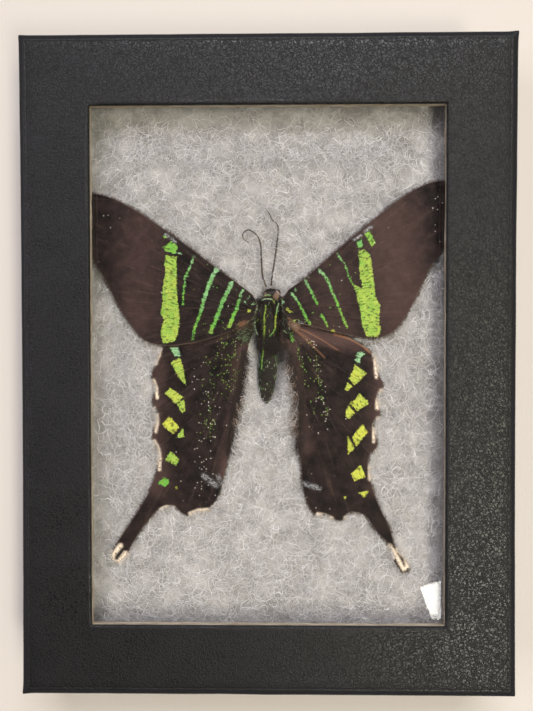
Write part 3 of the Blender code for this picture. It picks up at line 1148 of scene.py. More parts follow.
@dataclass
class Tray:
    """The tray: a card shell covered in leatherette, with the covering's edge pasted down underneath."""

    wall: float = 1.6
    edge: float = 0.6
    paste: float = 7.0
    paste_step: Point = (0.25, 0.18)

    def build(self, paper: Material, card: Material) -> None:
        """Builds the tray and dresses it.

        Args:
            paper: the covering.
            card: the inside.
        """
        shape, _, _ = box_shape("tray")
        top = [f for f in shape.faces if f.normal.z > 0.5]
        bmesh.ops.delete(shape, geom=top, context="FACES")
        outer = [e for e in shape.edges if len(e.link_faces) == 2]
        bmesh.ops.bevel(
            shape, geom=outer, offset=self.edge * MM, affect="EDGES", segments=3, profile=0.5, material=-1
        )
        under = [f for f in shape.faces if f.normal.z < -0.99]
        bmesh.ops.inset_region(shape, faces=under, thickness=self.paste * MM, use_even_offset=True)
        wide, deep = (side * MM for side in self.paste_step)
        bmesh.ops.inset_region(shape, faces=under, thickness=wide, depth=-deep, use_even_offset=True)
        tray = piece_from_bmesh("tray_shell", shape, [paper, card])
        wall = tray.modifiers.new("card thickness", "SOLIDIFY")
        wall.thickness = self.wall * MM
        wall.offset = -1
        wall.use_even_offset = True
        wall.material_offset = 1
        tray.data.set_sharp_from_angle(angle=math.radians(50))
        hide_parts("tray")
        LOG.info("tray: %d faces", len(tray.data.polygons))


@dataclass
class GlassPane:
    """The pane inside the lid, with its edges ground."""

    ground_edge: float = 0.15

    def build(self, glass: Material) -> None:
        """Builds the pane and dresses it."""
        shape, _, _ = box_shape("glass_pane")
        bmesh.ops.bevel(
            shape, geom=shape.edges[:], offset=self.ground_edge * MM, affect="EDGES", segments=1, profile=0.5,
            material=-1,
        )
        pane = piece_from_bmesh("glass_window", shape, [glass], smooth=False)
        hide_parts("glass_pane")
        LOG.info("glass pane")


@dataclass
class Pins:
    """The four pins through the sides, each with a small domed head."""

    head_radius: float = 0.9
    shank_radius: float = 0.3
    head_thick: float = 0.8
    point: float = 1.5
    turns: int = 28

    def build(self, steel: Material) -> None:
        """Builds the pins where the frame's pins are."""
        for side, direction in (("right", (1, 0)), ("back", (0, 1)), ("left", (-1, 0)), ("front", (0, -1))):
            low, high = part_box("pin_" + side)
            out = Vector((*direction, 0))
            reach = max(abs(low.dot(out)), abs(high.dot(out)), high.dot(out))
            length = (high - low).dot(Vector((abs(direction[0]), abs(direction[1]), 0)))
            middle = (low.z + high.z) / 2
            self.pin(side, out, reach, length, middle, steel)
        LOG.info("four pins")

    def pin(
        self, side: str, out: Vector, reach: float, length: float, middle: float, steel: Material
    ) -> None:
        """Builds one pin by spinning its profile about the line that it lies on.

        Args:
            side: which side it is on.
            out: the way its head points.
            reach: how far its head's top is from the case's upright axis, in metres.
            length: its whole length, in metres.
            middle: its height, in metres.
            steel: its material.
        """
        head = self.head_thick * MM
        dome = [
            (self.head_radius * MM * math.sin(a), reach - head * (1 - 0.9 * math.cos(a)))
            for a in np.linspace(0.02, math.pi / 2, 6)
        ]
        shank = [
            (self.head_radius * MM, reach - head),
            (self.shank_radius * MM, reach - head),
            (self.shank_radius * MM, reach - length + self.point * MM),
            (0.02 * MM, reach - length),
        ]
        up = Vector((0, 0, 1))
        line = [out * place + up * (middle + radius) for radius, place in dome + shank]
        shape = turned(line, up * middle, out, self.turns)
        bmesh.ops.holes_fill(shape, edges=[e for e in shape.edges if e.is_boundary])
        bmesh.ops.recalc_face_normals(shape, faces=shape.faces[:])
        pin = piece_from_bmesh("steel_pin_" + side, shape, [steel])
        pin.data.set_sharp_from_angle(angle=math.radians(40))
        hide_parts("pin_" + side)


# ----------------------------------------------------------------------------------------------------------
# The pad


@dataclass
class Pad:
    """The wadding: a soft block that swells to the glass, sinks at its edges and closes round the body."""

    cell: float = 0.9
    shoulder: float = 6.5
    drops: tuple[float, float, float, float] = (1.6, 0.2, 0.5, 0.1)
    body_middle: Point = (0.3, 4.4)
    body_reach: Point = (3.7, 13.2)
    body_depth: float = 3.4
    fibres: int = 24000
    fibre_points: int = 8
    fibre_radius: float = 0.038
    fibre_length: Point = (1.2, 4.2)
    loft: float = 1.7
    pieces: int = 5
    slack: float = 0.35
    lumps: tuple[Place, ...] = ((7.0, 3.0, 0.35), (2.6, 8.0, 0.22))
    bare_band: float = 5.0
    window_half: Point = (37.5, 55.0)
    outlines: list = field(default_factory=list)

    def height(self, places: np.ndarray) -> np.ndarray:
        """The height of the pad's top.

        Args:
            places: (places, 2) in millimetres.

        Returns:
            The height at each, in millimetres.
        """
        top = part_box("batting")[1].z / MM - 0.05
        sunk_in = np.zeros(len(places))
        for drop, (axis, way) in zip(self.drops, ((0, -1), (0, 1), (1, -1), (1, 1))):
            inset = (self.window_half[axis] + 1.0 - way * places[:, axis]) / self.shoulder
            sunk_in = np.maximum(sunk_in, drop * (1 - np.sin(np.clip(inset, 0, 1) * np.pi / 2)))
        sunk = ((places - np.array(self.body_middle)) / np.array(self.body_reach)) ** 2
        hollow = np.exp(-(sunk.sum(axis=1) ** 3) * 1.2)
        lumps = sum(soft_noise(places, size, seed) * rise for size, seed, rise in self.lumps)
        return top - self.slack - sunk_in - self.body_depth * hollow + lumps

    def block(self, wadding: Material) -> None:
        """Builds the pad's mass as one closed, lumpy block."""
        low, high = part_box("batting")
        size = high - low
        shape = bmesh.new()
        cells = [int(side / (self.cell * MM)) for side in size[:2]]
        bmesh.ops.create_grid(shape, x_segments=cells[0], y_segments=cells[1], size=0.5)
        bmesh.ops.scale(shape, vec=(size.x, size.y, 1), verts=shape.verts)
        bmesh.ops.translate(shape, vec=((low + high) / 2).to_2d().to_3d(), verts=shape.verts)
        places = np.array([v.co.to_2d() for v in shape.verts]) / MM
        for vert, height in zip(shape.verts, self.height(places)):
            vert.co.z = height * MM
        rim = [e for e in shape.edges if e.is_boundary]
        skirt = bmesh.ops.extrude_edge_only(shape, edges=rim)["geom"]
        for vert in (g for g in skirt if isinstance(g, bmesh.types.BMVert)):
            vert.co.z = low.z
        bmesh.ops.holes_fill(shape, edges=[e for e in shape.edges if e.is_boundary])
        bmesh.ops.recalc_face_normals(shape, faces=shape.faces[:])
        pad = piece_from_bmesh("wadding_pad", shape, [wadding])
        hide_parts("batting")
        LOG.info("pad: %d faces", len(pad.data.polygons))

    def loose_fibres(self, fibre: Material) -> None:
        """Lays loose curved fibres on the pad, under the wings and up to the glass between them."""
        rng = np.random.default_rng(11)
        count, steps = self.fibres, self.fibre_points
        reach = np.array(self.window_half) + 1.5
        start = rng.uniform(-reach, reach, (count, 2))
        bare = (start[:, 0] < -reach[0] + self.bare_band) | (start[:, 1] > reach[1] - self.bare_band)
        moved = bare & (rng.random(count) < 0.75)
        start[moved] *= 0.85
        heading = rng.uniform(0, 2 * np.pi, count)
        bend = rng.normal(0, 0.3, count)
        length = rng.uniform(*self.fibre_length, count)
        wiggle = rng.normal(0, 0.25, (count, steps))
        angle = heading[:, None] + np.cumsum(bend[:, None] + wiggle, axis=1)
        stride = (length / (steps - 1))[:, None, None]
        moves = np.stack([np.cos(angle), np.sin(angle)], axis=2) * stride
        flat = start[:, None] + np.cumsum(moves, axis=1)
        flat = np.clip(flat, -(reach + 4.0), reach + 4.0)
        lift = rng.uniform(0, 1, count)[:, None] ** 1.6 * self.loft
        arch = np.sin(np.linspace(0, np.pi, steps))[None] * rng.uniform(0.0, 0.5, count)[:, None]
        ground = self.height(flat.reshape(-1, 2)).reshape(count, steps)
        level = ground + lift + arch - 0.15
        ceiling = self.ceiling(flat.reshape(-1, 2)).reshape(count, steps)
        level = np.minimum(level, ceiling - rng.uniform(0.04, 0.5, count)[:, None])
        paths = lifted(flat, level)
        radii = self.fibre_radius * rng.uniform(0.6, 1.3, count)[:, None] * np.ones(steps)
        shade = rng.random(count) ** 1.5
        share = count // self.pieces
        for part in range(self.pieces):
            some = slice(part * share, (part + 1) * share)
            facts = {"shade": shade[some]}
            piece = strands(f"loose_fibres_{part}", paths[some], radii[some], fibre, 3, facts)
        LOG.info("loose fibres: %d", count)

    def ceiling(self, places: np.ndarray) -> np.ndarray:
        """How high a fibre may stand at each place: below the wings, or below the glass between them."""
        top = np.full(len(places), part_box("glass_pane")[0].z / MM - 0.1)
        for outline, bottom in self.outlines:
            over = depth_inside(places, outline) > -0.15
            top[over] = np.minimum(top[over], bottom - 0.08)
        return top

    def build(self, wadding: Material, fibre: Material) -> None:
        """Builds the block and its loose fibres."""
        self.block(wadding)
        self.loose_fibres(fibre)


# ----------------------------------------------------------------------------------------------------------
# The moth


@dataclass(frozen=True)
class Stripe:
    """A run of bright scales along a path: its widths and tones at its two ends, and how beaded it is."""

    points: tuple[Point, ...]
    wide: Point
    tone: Point = (0.1, 0.4)
    beaded: float = 0.3

    def measure(self, places: np.ndarray) -> tuple[np.ndarray, np.ndarray]:
        """How deep each place lies inside the stripe, and the stripe's tone there.

        Args:
            places: (places, 2) in millimetres.

        Returns:
            The depth, below zero outside, and the tone.
        """
        gap, along = distance_to_path(places, np.array(self.points))
        share = along / (len(self.points) - 1)
        beads = 1 + self.beaded * np.sin(along * 7.3 + self.points[0][0]) * np.sin(along * 2.9 + 1.0)
        wide = (self.wide[0] + (self.wide[1] - self.wide[0]) * share) * beads
        return wide / 2 - gap, self.tone[0] + (self.tone[1] - self.tone[0]) * share


@dataclass(frozen=True)
class Patch:
    """A patch of bright scales with this outline and tone."""

    outline: tuple[Point, ...]
    tone: float = 0.55

    def measure(self, places: np.ndarray) -> tuple[np.ndarray, np.ndarray]:
        """How deep each place lies inside the patch, and the patch's tone."""
        return depth_inside(places, np.array(self.outline)), np.full(len(places), self.tone)


@dataclass(frozen=True)
class Dot:
    """A round spot of bright scales."""

    middle: Point
    radius: float
    tone: float = 0.5

    def measure(self, places: np.ndarray) -> tuple[np.ndarray, np.ndarray]:
        """How deep each place lies inside the spot, and the spot's tone."""
        gap = np.linalg.norm(places - np.array(self.middle), axis=1)
        return self.radius - gap, np.full(len(places), self.tone)


class Fact(Enum):
    """What a zone changes: bright dust, brown ground (on the right forewing partly painted sheen), tan
    scuffs, rubbed scales, cream fringe or flecks.
    """

    DUST = "dust"
    BROWN = "brown"
    TAN = "tan"
    PALE = "pale"
    CREAM = "cream"
    FLECK = "fleck"


@dataclass(frozen=True)
class Zone:
    """A soft band along a path in which one fact of the wing grows."""

    fact: Fact
    points: tuple[Point, ...]
    reach: float
    amount: float

    def measure(self, places: np.ndarray) -> np.ndarray:
        """How strong the zone is at each place, from 0 to its amount."""
        gap, _ = distance_to_path(places, np.array(self.points))
        return self.amount * np.clip(1.25 - gap / self.reach, 0, 1)


@dataclass
class Wing:
    """One wing: a thin, slightly waved sheet cut to the frame's outline, with veins and its own markings."""

    node: str
    root: Point
    marks: tuple
    zones: tuple[Zone, ...] = ()
    veins: tuple[tuple[Point, ...], ...] = ()
    cell: float = 0.6
    wave: float = 0.1
    thick: float = 0.2
    bare_root: float = 7.0
    fringe_gap: float = 0.075
    fringe_radius: float = 0.045
    vein_high: float = 0.07
    vein_wide: float = 0.22
    row_pitch: float = 14.0

    def top_side(self) -> bmesh.types.BMesh:
        """The flat top of the frame's wing."""
        shape = bmesh.new()
        shape.from_mesh(FRAME["nodes"][self.node].data)
        bmesh.ops.remove_doubles(shape, verts=shape.verts, dist=0.001 * MM)
        shape.normal_update()
        others = [f for f in shape.faces if f.normal.z < 0.5]
        bmesh.ops.delete(shape, geom=others, context="FACES")
        return shape

    def sheet(self) -> bmesh.types.BMesh:
        """Cuts the wing's top to a fine net.

        Returns:
            The flat sheet.
        """
        shape = self.top_side()
        low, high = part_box(self.node)
        for axis in (0, 1):
            start, stop = low[axis] / (self.cell * MM), high[axis] / (self.cell * MM)
            for i in range(math.ceil(start), math.floor(stop) + 1):
                cut_across(shape, axis, i * self.cell, 2e-6)
        bmesh.ops.triangulate(shape, faces=shape.faces[:])
        bmesh.ops.subdivide_edges(shape, edges=shape.edges[:], cuts=1, use_grid_fill=True)
        bmesh.ops.triangulate(shape, faces=[f for f in shape.faces if len(f.verts) > 3])
        return shape

    def outline(self) -> np.ndarray:
        """The wing's outline as (points, 2) in millimetres."""
        shape = self.top_side()
        edge = next(e for e in shape.edges if e.is_boundary)
        vert, loop = edge.verts[0], []
        while not loop or vert is not loop[0]:
            loop.append(vert)
            edge = next(e for e in vert.link_edges if e.is_boundary and e is not edge)
            vert = edge.other_vert(vert)
        points = np.array([v.co.to_2d() for v in loop]) / MM
        shape.free()
        return points

    def dress(self, mesh: bpy.types.Mesh, outline: np.ndarray) -> None:
        """Stores what the finish reads: markings, their tones, veins, edges and wear.

        Args:
            mesh: the wing's mesh.
            outline: its outline.
        """
        places = np.array([v.co.to_2d() for v in mesh.vertices]) / MM
        mark = np.full(len(places), -1.0)
        tone = np.full(len(places), 0.5)
        for each in self.marks:
            depth, hue = each.measure(places)
            deeper = depth > mark
            mark[deeper] = depth[deeper]
            tone[deeper] = hue[deeper]
        set_attribute(mesh, "mark", np.clip(mark, -1, 1))
        set_attribute(mesh, "tone", np.clip(tone + soft_noise(places, 1.3, 2.0) * 0.12, 0, 1))
        for fact in Fact:
            level = np.zeros(len(places))
            for zone in self.zones:
                if zone.fact is fact:
                    level = np.maximum(level, zone.measure(places))
            set_attribute(mesh, fact.value, level)
        set_attribute(mesh, "vein", self.to_vein(places))
        gap, _ = distance_to_path(places, np.vstack([outline, outline[:1]]))
        set_attribute(mesh, "edge", gap)
        away = places - np.array(self.root)
        rows = mesh.uv_layers.new(name="rows")
        turn = np.arctan2(away[:, 1], away[:, 0]) * self.row_pitch
        flat = np.stack([np.linalg.norm(away, axis=1), turn], axis=1)
        corners = np.zeros(len(mesh.loops), np.int32)
        mesh.loops.foreach_get("vertex_index", corners)
        rows.data.foreach_set("uv", flat[corners].astype(np.float32).ravel())

    def to_vein(self, places: np.ndarray) -> np.ndarray:
        """How far each place is from the nearest vein, in millimetres."""
        nearest = np.full(len(places), 5.0)
        for vein in self.veins:
            gap, _ = distance_to_path(places, smooth_path(vein, 9))
            nearest = np.minimum(nearest, gap)
        return nearest

    def build(self, scales: Material, hair: Material) -> None:
        """Builds the wing and its fringe.

        Args:
            scales: the wing's finish.
            hair: the fringe's finish.
        """
        outline = self.outline()
        shape = self.sheet()
        places = np.array([v.co.to_2d() for v in shape.verts]) / MM
        waves = soft_noise(places, 8.0, 5.0) * self.wave + soft_noise(places, 2.0, 9.0) * self.wave * 0.2
        ribs = self.vein_high * np.exp(-((self.to_vein(places) / self.vein_wide) ** 2))
        for vert, rise in zip(shape.verts, waves + ribs):
            vert.co.z += min(rise, 0.2) * MM
        piece = piece_from_bmesh(self.node + "_sheet", shape, [scales])
        self.dress(piece.data, outline)
        wall = piece.modifiers.new("membrane", "SOLIDIFY")
        wall.thickness = self.thick * MM
        wall.offset = -1
        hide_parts(self.node)
        self.fringe(outline, hair)
        LOG.info("%s: %d faces", self.node, len(piece.data.polygons))

    def fringe(self, outline: np.ndarray, hair: Material) -> None:
        """Sets a fringe of fine hair-scales along the wing's edge: dark, and cream in the notches.

        Args:
            outline: the wing's outline.
            hair: the finish.
        """
        rng = np.random.default_rng(len(self.node) * 7 + int(self.root[0] * 10) % 13)
        ring = np.vstack([outline, outline[:1]])
        steps = np.linalg.norm(np.diff(ring, axis=0), axis=1)
        total = steps.sum()
        count = int(total / self.fringe_gap)
        reach = np.sort(rng.uniform(0, total, count))
        spot = np.searchsorted(np.cumsum(steps), reach)
        spot = np.minimum(spot, len(outline) - 1)
        a, b = ring[spot], ring[spot + 1]
        share = (reach - (np.cumsum(steps)[spot] - steps[spot])) / np.maximum(steps[spot], 1e-9)
        start = a + share[:, None] * (b - a)
        run = (b - a) / np.maximum(np.linalg.norm(b - a, axis=1), 1e-9)[:, None]
        out = np.stack([run[:, 1], -run[:, 0]], axis=1)
        flip = depth_inside(start + out * 0.2, outline) > 0
        out[flip] *= -1
        keep = np.linalg.norm(start - np.array(self.root), axis=1) > self.bare_root
        start, out = start[keep], out[keep]
        notch = np.zeros(len(start))
        for zone in (z for z in self.zones if z.fact is Fact.CREAM):
            notch = np.maximum(notch, zone.measure(start) > 0.4)
        lean = out + rng.normal(0, 0.25, out.shape)
        length = (0.25 + 0.25 * rng.random(len(start)) + 0.35 * notch)[:, None, None]
        t = np.linspace(-0.3, 1, 3)[None, :, None]
        flat = start[:, None] + lean[:, None] * t * length
        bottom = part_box(self.node)[0].z / MM
        level = bottom + 0.1 + rng.uniform(0, 0.15, len(start))[:, None] + 0 * flat[:, :, 0]
        radii = thinning(len(start), self.fringe_radius, 1.0, 0.9, 0.35)
        shade = np.where(notch > 0.5, rng.uniform(0.75, 1.0, len(start)), rng.uniform(0.05, 0.45, len(start)))
        facts = {"shade": shade, "green": np.zeros(len(start)), "tone": np.zeros(len(start))}
        piece = strands(self.node + "_fringe", lifted(flat, level), radii, hair, 3, facts)


@dataclass(frozen=True)
class Tuft:
    """A run of hair along a path: where it lies, which way it points, and its length, number and shade."""

    name: str
    points: tuple[Point, ...]
    scatter: float
    heading: float
    length: tuple[float, float]
    count: int
    height: tuple[float, float]
    shade: tuple[float, float]
    green: float = 0.0
    tone: float = 0.8
    radius: float = 0.04
    rise: float = 0.25

    def build(self, hair: Material) -> None:
        """Builds the run of hair."""
        rng = np.random.default_rng(sum(map(ord, self.name)))
        line = smooth_path(self.points, 60)
        start = line[rng.integers(0, len(line), self.count)] + rng.normal(0, self.scatter, (self.count, 2))
        angle = np.radians(self.heading + rng.normal(0, 16, self.count))
        bend = rng.normal(0, 0.35, self.count)
        steps = 5
        turn = angle[:, None] + bend[:, None] * np.linspace(0, 1, steps)
        length = rng.uniform(*self.length, self.count)
        stride = (length / (steps - 1))[:, None, None]
        flat = start[:, None] + np.cumsum(np.stack([np.cos(turn), np.sin(turn)], axis=2) * stride, axis=1)
        base = rng.uniform(*self.height, self.count)[:, None]
        arch = np.sin(np.linspace(0.15, np.pi, steps))[None] * self.rise * rng.random(self.count)[:, None]
        stout = rng.uniform(0.7, 1.2, self.count)[:, None]
        radii = self.radius * np.array([0.9, 1.0, 0.85, 0.6, 0.25])[None] * stout
        facts = {
            "shade": rng.uniform(*self.shade, self.count),
            "green": (rng.random(self.count) < self.green).astype(float),
            "tone": np.full(self.count, self.tone),
        }
        piece = strands(self.name, lifted(flat, base + arch), radii, hair, 3, facts)


@dataclass(frozen=True)
class Egg:
    """An egg-shaped form: its middle and its three radii in millimetres, and how many hairs lie on it."""

    middle: Place
    radii: Place
    hairs: int

    def top(self, places: np.ndarray) -> np.ndarray:
        """How high its surface is over each place, in millimetres, and zero outside it."""
        away = (places - np.array(self.middle[:2])) / np.array(self.radii[:2])
        inside = 1 - (away**2).sum(axis=1)
        return np.where(inside > 0, self.middle[2] + self.radii[2] * np.sqrt(np.maximum(inside, 0)), 0)


@dataclass
class Body:
    """The head, thorax and abdomen: dark lumpy forms under lying hair, with thin lines of bright scales."""

    thorax: tuple[Egg, ...] = (
        Egg((0.3, 9.6, 11.6), (3.2, 4.8, 2.3), 3600),
        Egg((-1.5, 12.3, 12.0), (1.5, 2.3, 1.9), 900),
        Egg((2.0, 12.4, 12.0), (1.5, 2.3, 1.9), 900),
        Egg((0.5, 14.3, 12.2), (1.9, 1.2, 1.6), 600),
        Egg((0.2, 4.9, 11.9), (2.4, 2.6, 1.7), 900),
    )
    head: tuple[Egg, ...] = (Egg((1.0, 15.8, 12.5), (1.95, 1.2, 1.35), 700),)
    hair_radius: float = 0.055
    line_radius: float = 0.056
    scale_radius: float = 0.07
    eye_balls: tuple[Place, ...] = ((-0.45, 15.6, 0.6), (1.95, 15.3, 1.05))
    eye_height: float = 13.1
    ceiling: float = 14.6
    abdomen_hairs: int = 5200
    abdomen_base: Place = (0.3, 4.1, 12.0)
    abdomen_length: float = 12.5
    abdomen_tilt: float = -3.4
    abdomen_flat: float = 0.82
    abdomen_taper: tuple[Point, ...] = (
        (0.0, 0.0), (0.03, 1.0), (0.07, 1.5), (0.22, 2.05), (0.45, 2.05), (0.7, 1.72), (0.9, 1.12),
        (0.97, 0.75), (1.0, 0.0),
    )
    lines: tuple[Stripe, ...] = (
        Stripe(((-2.0, 13.8), (-2.4, 12.6), (-2.7, 11.5), (-2.85, 10.2), (-2.8, 8.8), (-2.5, 7.6),
                (-2.2, 6.9)),
               (0.3, 0.32), (0.0, 0.12)),
        Stripe(((-0.4, 13.5), (-0.45, 12.4), (-0.7, 11.1)), (0.28, 0.34), (0.75, 0.8)),
        Stripe(((-0.7, 11.1), (-0.7, 10.0), (-0.7, 8.7), (-0.75, 7.1)), (0.42, 0.42), (0.85, 0.85)),
        Stripe(((-0.75, 7.1), (-0.8, 5.2), (-1.0, 3.6), (-1.2, 1.6), (-1.4, -0.6)), (0.4, 0.3), (0.75, 0.55)),
        Stripe(((2.4, 13.8), (2.1, 12.6), (1.85, 11.4)), (0.3, 0.34), (0.1, 0.5)),
        Stripe(((1.85, 11.4), (1.65, 9.8), (1.65, 8.4)), (0.42, 0.42), (1.0, 0.95)),
        Stripe(((1.65, 8.4), (1.2, 7.5), (0.3, 6.4)), (0.3, 0.22), (0.7, 0.4)),
        Stripe(((3.1, 14.0), (3.5, 13.3)), (0.35, 0.3), (0.05, 0.05)),
        Stripe(((-1.3, 14.5), (-0.2, 14.75), (0.9, 14.6)), (0.3, 0.25), (0.0, 0.1)),
        Stripe(((-0.9, 15.3), (0.0, 15.6), (0.8, 15.35)), (0.34, 0.3), (0.3, 0.35)),
    )

    def forms(self, node: str, eggs: tuple[Egg, ...], hair: Material) -> None:
        """Builds the dark forms under the hair of one part, as one lumpy mesh.

        Args:
            node: the frame's node that it replaces.
            eggs: its forms.
            hair: its finish.
        """
        shape = bmesh.new()
        for egg in eggs:
            made = bmesh.ops.create_icosphere(shape, subdivisions=4, radius=1.0)["verts"]
            for vert in made:
                vert.co *= 0.96 + 0.05 * noise.noise(vert.co * 3.1)
            bmesh.ops.scale(shape, vec=Vector(egg.radii) * MM, verts=made)
            bmesh.ops.translate(shape, vec=Vector(egg.middle) * MM, verts=made)
        piece = piece_from_bmesh(node + "_form", shape, [hair])
        self.plain(piece.data, 0.08)
        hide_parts(node)

    def plain(self, mesh: bpy.types.Mesh, shade: float) -> None:
        """Gives a whole mesh one shade and no green."""
        count = len(mesh.vertices)
        set_attribute(mesh, "shade", np.full(count, shade))
        set_attribute(mesh, "green", np.zeros(count))
        set_attribute(mesh, "tone", np.zeros(count))

    def coat(self, name: str, eggs: tuple[Egg, ...], length: Point, heading: Point, hair: Material) -> None:
        """Lays dark hair over egg-shaped forms.

        Args:
            name: the piece's name.
            eggs: the forms.
            length: the shortest and longest hair, in millimetres.
            heading: the way that they lie.
            hair: their finish.
        """
        rng = np.random.default_rng(len(name))
        middle = np.concatenate([np.tile(egg.middle, (egg.hairs, 1)) for egg in eggs])
        radii = np.concatenate([np.tile(egg.radii, (egg.hairs, 1)) for egg in eggs])
        count = len(middle)
        way = rng.normal(0, 1, (count, 3))
        way[:, 2] = np.abs(way[:, 2]) * 0.9 - 0.25
        way /= np.linalg.norm(way, axis=1, keepdims=True)
        root = middle + way * radii * 0.92
        normal = way / radii
        normal /= np.linalg.norm(normal, axis=1, keepdims=True)
        lie = np.zeros((count, 3))
        lie[:, :2] = np.array(heading) + rng.normal(0, 0.3, (count, 2))
        lie[:, 0] += way[:, 0] * 0.5
        lie -= (lie * normal).sum(axis=1, keepdims=True) * normal
        steps = 4
        t = np.linspace(0, 1, steps)[None, :, None]
        span = rng.uniform(*length, count)[:, None, None]
        lift = 0.4 * np.sin(t * np.pi / 2) * (0.3 + 0.7 * rng.random(count))[:, None, None]
        paths = root[:, None] + lie[:, None] * t * span + normal[:, None] * lift * span
        paths[:, :, 2] = np.minimum(paths[:, :, 2], self.ceiling - 0.15 - 0.05 * rng.random(count)[:, None])
        radii = thinning(count, self.hair_radius, 0.9, 1.0, 0.8, 0.3)
        shade = rng.uniform(0.0, 0.22, count) + np.where(rng.random(count) < 0.06, 0.35, 0)
        stray = rng.random(count) < 0.02
        facts = {"shade": shade, "green": stray.astype(float), "tone": rng.uniform(0, 1, count)}
        piece = strands(name, paths, radii, hair, 3, facts)

    def top(self, places: np.ndarray) -> np.ndarray:
        """How high the body's surface is over each place, in millimetres."""
        highest = np.full(len(places), 12.6)
        for egg in self.thorax + self.head:
            highest = np.maximum(highest, egg.top(places))
        turn = math.radians(self.abdomen_tilt)
        away = places - np.array(self.abdomen_base[:2])
        share = -(away[:, 0] * -math.sin(turn) + away[:, 1] * math.cos(turn)) / self.abdomen_length
        aside = away[:, 0] * math.cos(turn) + away[:, 1] * math.sin(turn)
        inside = self.girth(np.clip(share, 0, 1)) ** 2 - aside**2
        back = self.abdomen_base[2] + self.abdomen_flat * np.sqrt(np.maximum(inside, 0))
        return np.maximum(highest, np.where((share > 0) & (share < 1), back, 0))

    def bright_lines(self, hair: Material) -> None:
        """Sets short bright scales along the lines, in beads."""
        rng = np.random.default_rng(21)
        roots, tones = [], []
        for line in self.lines:
            stops = np.array(line.points)
            length = np.linalg.norm(np.diff(stops, axis=0), axis=1).sum()
            count = int(length * 40)
            share = rng.random(count)
            path = smooth_path(line.points, 80)
            spot = path[np.minimum((share * 79).astype(int), 79)] + rng.normal(0, 0.03, (count, 2))
            wide = 0.62 * (line.wide[0] + (line.wide[1] - line.wide[0]) * share)
            spot[:, 0] += rng.uniform(-0.5, 0.5, count) * wide
            kept = np.sin(share * length * 9.0 + line.points[0][0] * 5) > rng.uniform(-1.3, 0.0, count)
            roots.append(spot[kept])
            tones.append((line.tone[0] + (line.tone[1] - line.tone[0]) * share)[kept])
        root, tone = np.concatenate(roots), np.concatenate(tones)
        count, steps = len(root), np.linspace(0, 1, 3)
        way = np.stack([rng.normal(0, 0.35, count), -np.ones(count)], axis=1)
        length = rng.uniform(0.16, 0.3, count)[:, None, None]
        flat = root[:, None] + way[:, None] * steps[None, :, None] * length
        level = self.top(root) + rng.uniform(0.2, 0.42, count)
        level = np.minimum(level, self.ceiling - 0.04)[:, None] + np.array([0, 0.05, 0])[None]
        radii = thinning(count, self.line_radius, 0.8, 1.0, 0.5)
        facts = {
            "shade": np.zeros(count),
            "green": np.ones(count),
            "tone": np.clip(tone + rng.normal(0, 0.1, count), 0, 1),
        }
        piece = strands("bright_line_scales", lifted(flat, level), radii, hair, 3, facts)

    def abdomen_place(self) -> Matrix:
        """Where the abdomen's own axes stand: Z from its tip to its base."""
        place = Matrix.Translation(Vector(self.abdomen_base) * MM)
        lean = Matrix.Rotation(math.radians(self.abdomen_tilt), 4, "Z")
        turn = lean @ Matrix.Rotation(-math.pi / 2, 4, "X")
        return place @ turn @ Matrix.Diagonal((1, self.abdomen_flat, 1, 1))

    def girth(self, share: np.ndarray) -> np.ndarray:
        """The abdomen's radius in millimetres at each share of its length, with its rings."""
        taper = np.array(self.abdomen_taper)
        rings = 1 - 0.07 * np.abs(np.sin(share * np.pi * 7.5)) ** 6
        return np.interp(share, taper[:, 0], taper[:, 1]) * rings * 0.97

    def abdomen(self, hair: Material) -> None:
        """Builds the abdomen, turned from its ringed profile, and its lying scales."""
        shares = np.linspace(0, 1, 60)
        line = [
            Vector((max(radius, 0.001) * MM, 0, -share * self.abdomen_length * MM))
            for share, radius in zip(shares, self.girth(shares))
        ]
        shape = turned(line, Vector((0, 0, 0)), Vector((0, 0, 1)), 36)
        bmesh.ops.remove_doubles(shape, verts=shape.verts, dist=0.004 * MM)
        bmesh.ops.recalc_face_normals(shape, faces=shape.faces[:])
        place = self.abdomen_place()
        bmesh.ops.transform(shape, matrix=place, verts=shape.verts)
        piece = piece_from_bmesh("abdomen_form", shape, [hair])
        self.plain(piece.data, 0.1)
        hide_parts("abdomen")

        rng = np.random.default_rng(5)
        count = self.abdomen_hairs
        share = rng.uniform(0.02, 0.97, count)
        angle = rng.uniform(0, 2 * np.pi, count)
        steps = np.linspace(0, 1, 3)
        length = rng.uniform(0.3, 0.6, count)
        along = np.clip(share[:, None] + steps[None] * length[:, None] / self.abdomen_length, 0, 1)
        raised = self.girth(along) * 0.99 + steps[None] * 0.1 * rng.random(count)[:, None]
        across, deep = raised * np.cos(angle)[:, None], raised * np.sin(angle)[:, None]
        local = np.stack([across, deep, -along * self.abdomen_length, np.ones_like(along) / MM], axis=2)
        paths = ((local * MM) @ np.array(place).T)[:, :, :3] / MM
        flank = np.abs(np.cos(angle)) ** 3
        bright = rng.random(count) < 0.02 + 0.1 * flank
        facts = {
            "shade": rng.uniform(0.0, 0.2, count) + np.clip(share - 0.88, 0, 1) * 2.2,
            "green": bright.astype(float),
            "tone": rng.choice([0.0, 0.1, 0.4, 0.5], count),
        }
        radii = thinning(count, self.scale_radius, 1.0, 1.0, 0.5)
        scales = strands("abdomen_scales", paths, radii, hair, 3, facts)

    def eyes(self, eye: Material) -> None:
        """Builds the two compound eyes."""
        shape = bmesh.new()
        for x, y, size in self.eye_balls:
            made = bmesh.ops.create_icosphere(shape, subdivisions=4, radius=size * MM)["verts"]
            bmesh.ops.scale(shape, vec=(1, 1.1, 0.8), verts=made)
            bmesh.ops.translate(shape, vec=Vector((x, y, self.eye_height)) * MM, verts=made)
        piece = piece_from_bmesh("compound_eyes", shape, [eye])

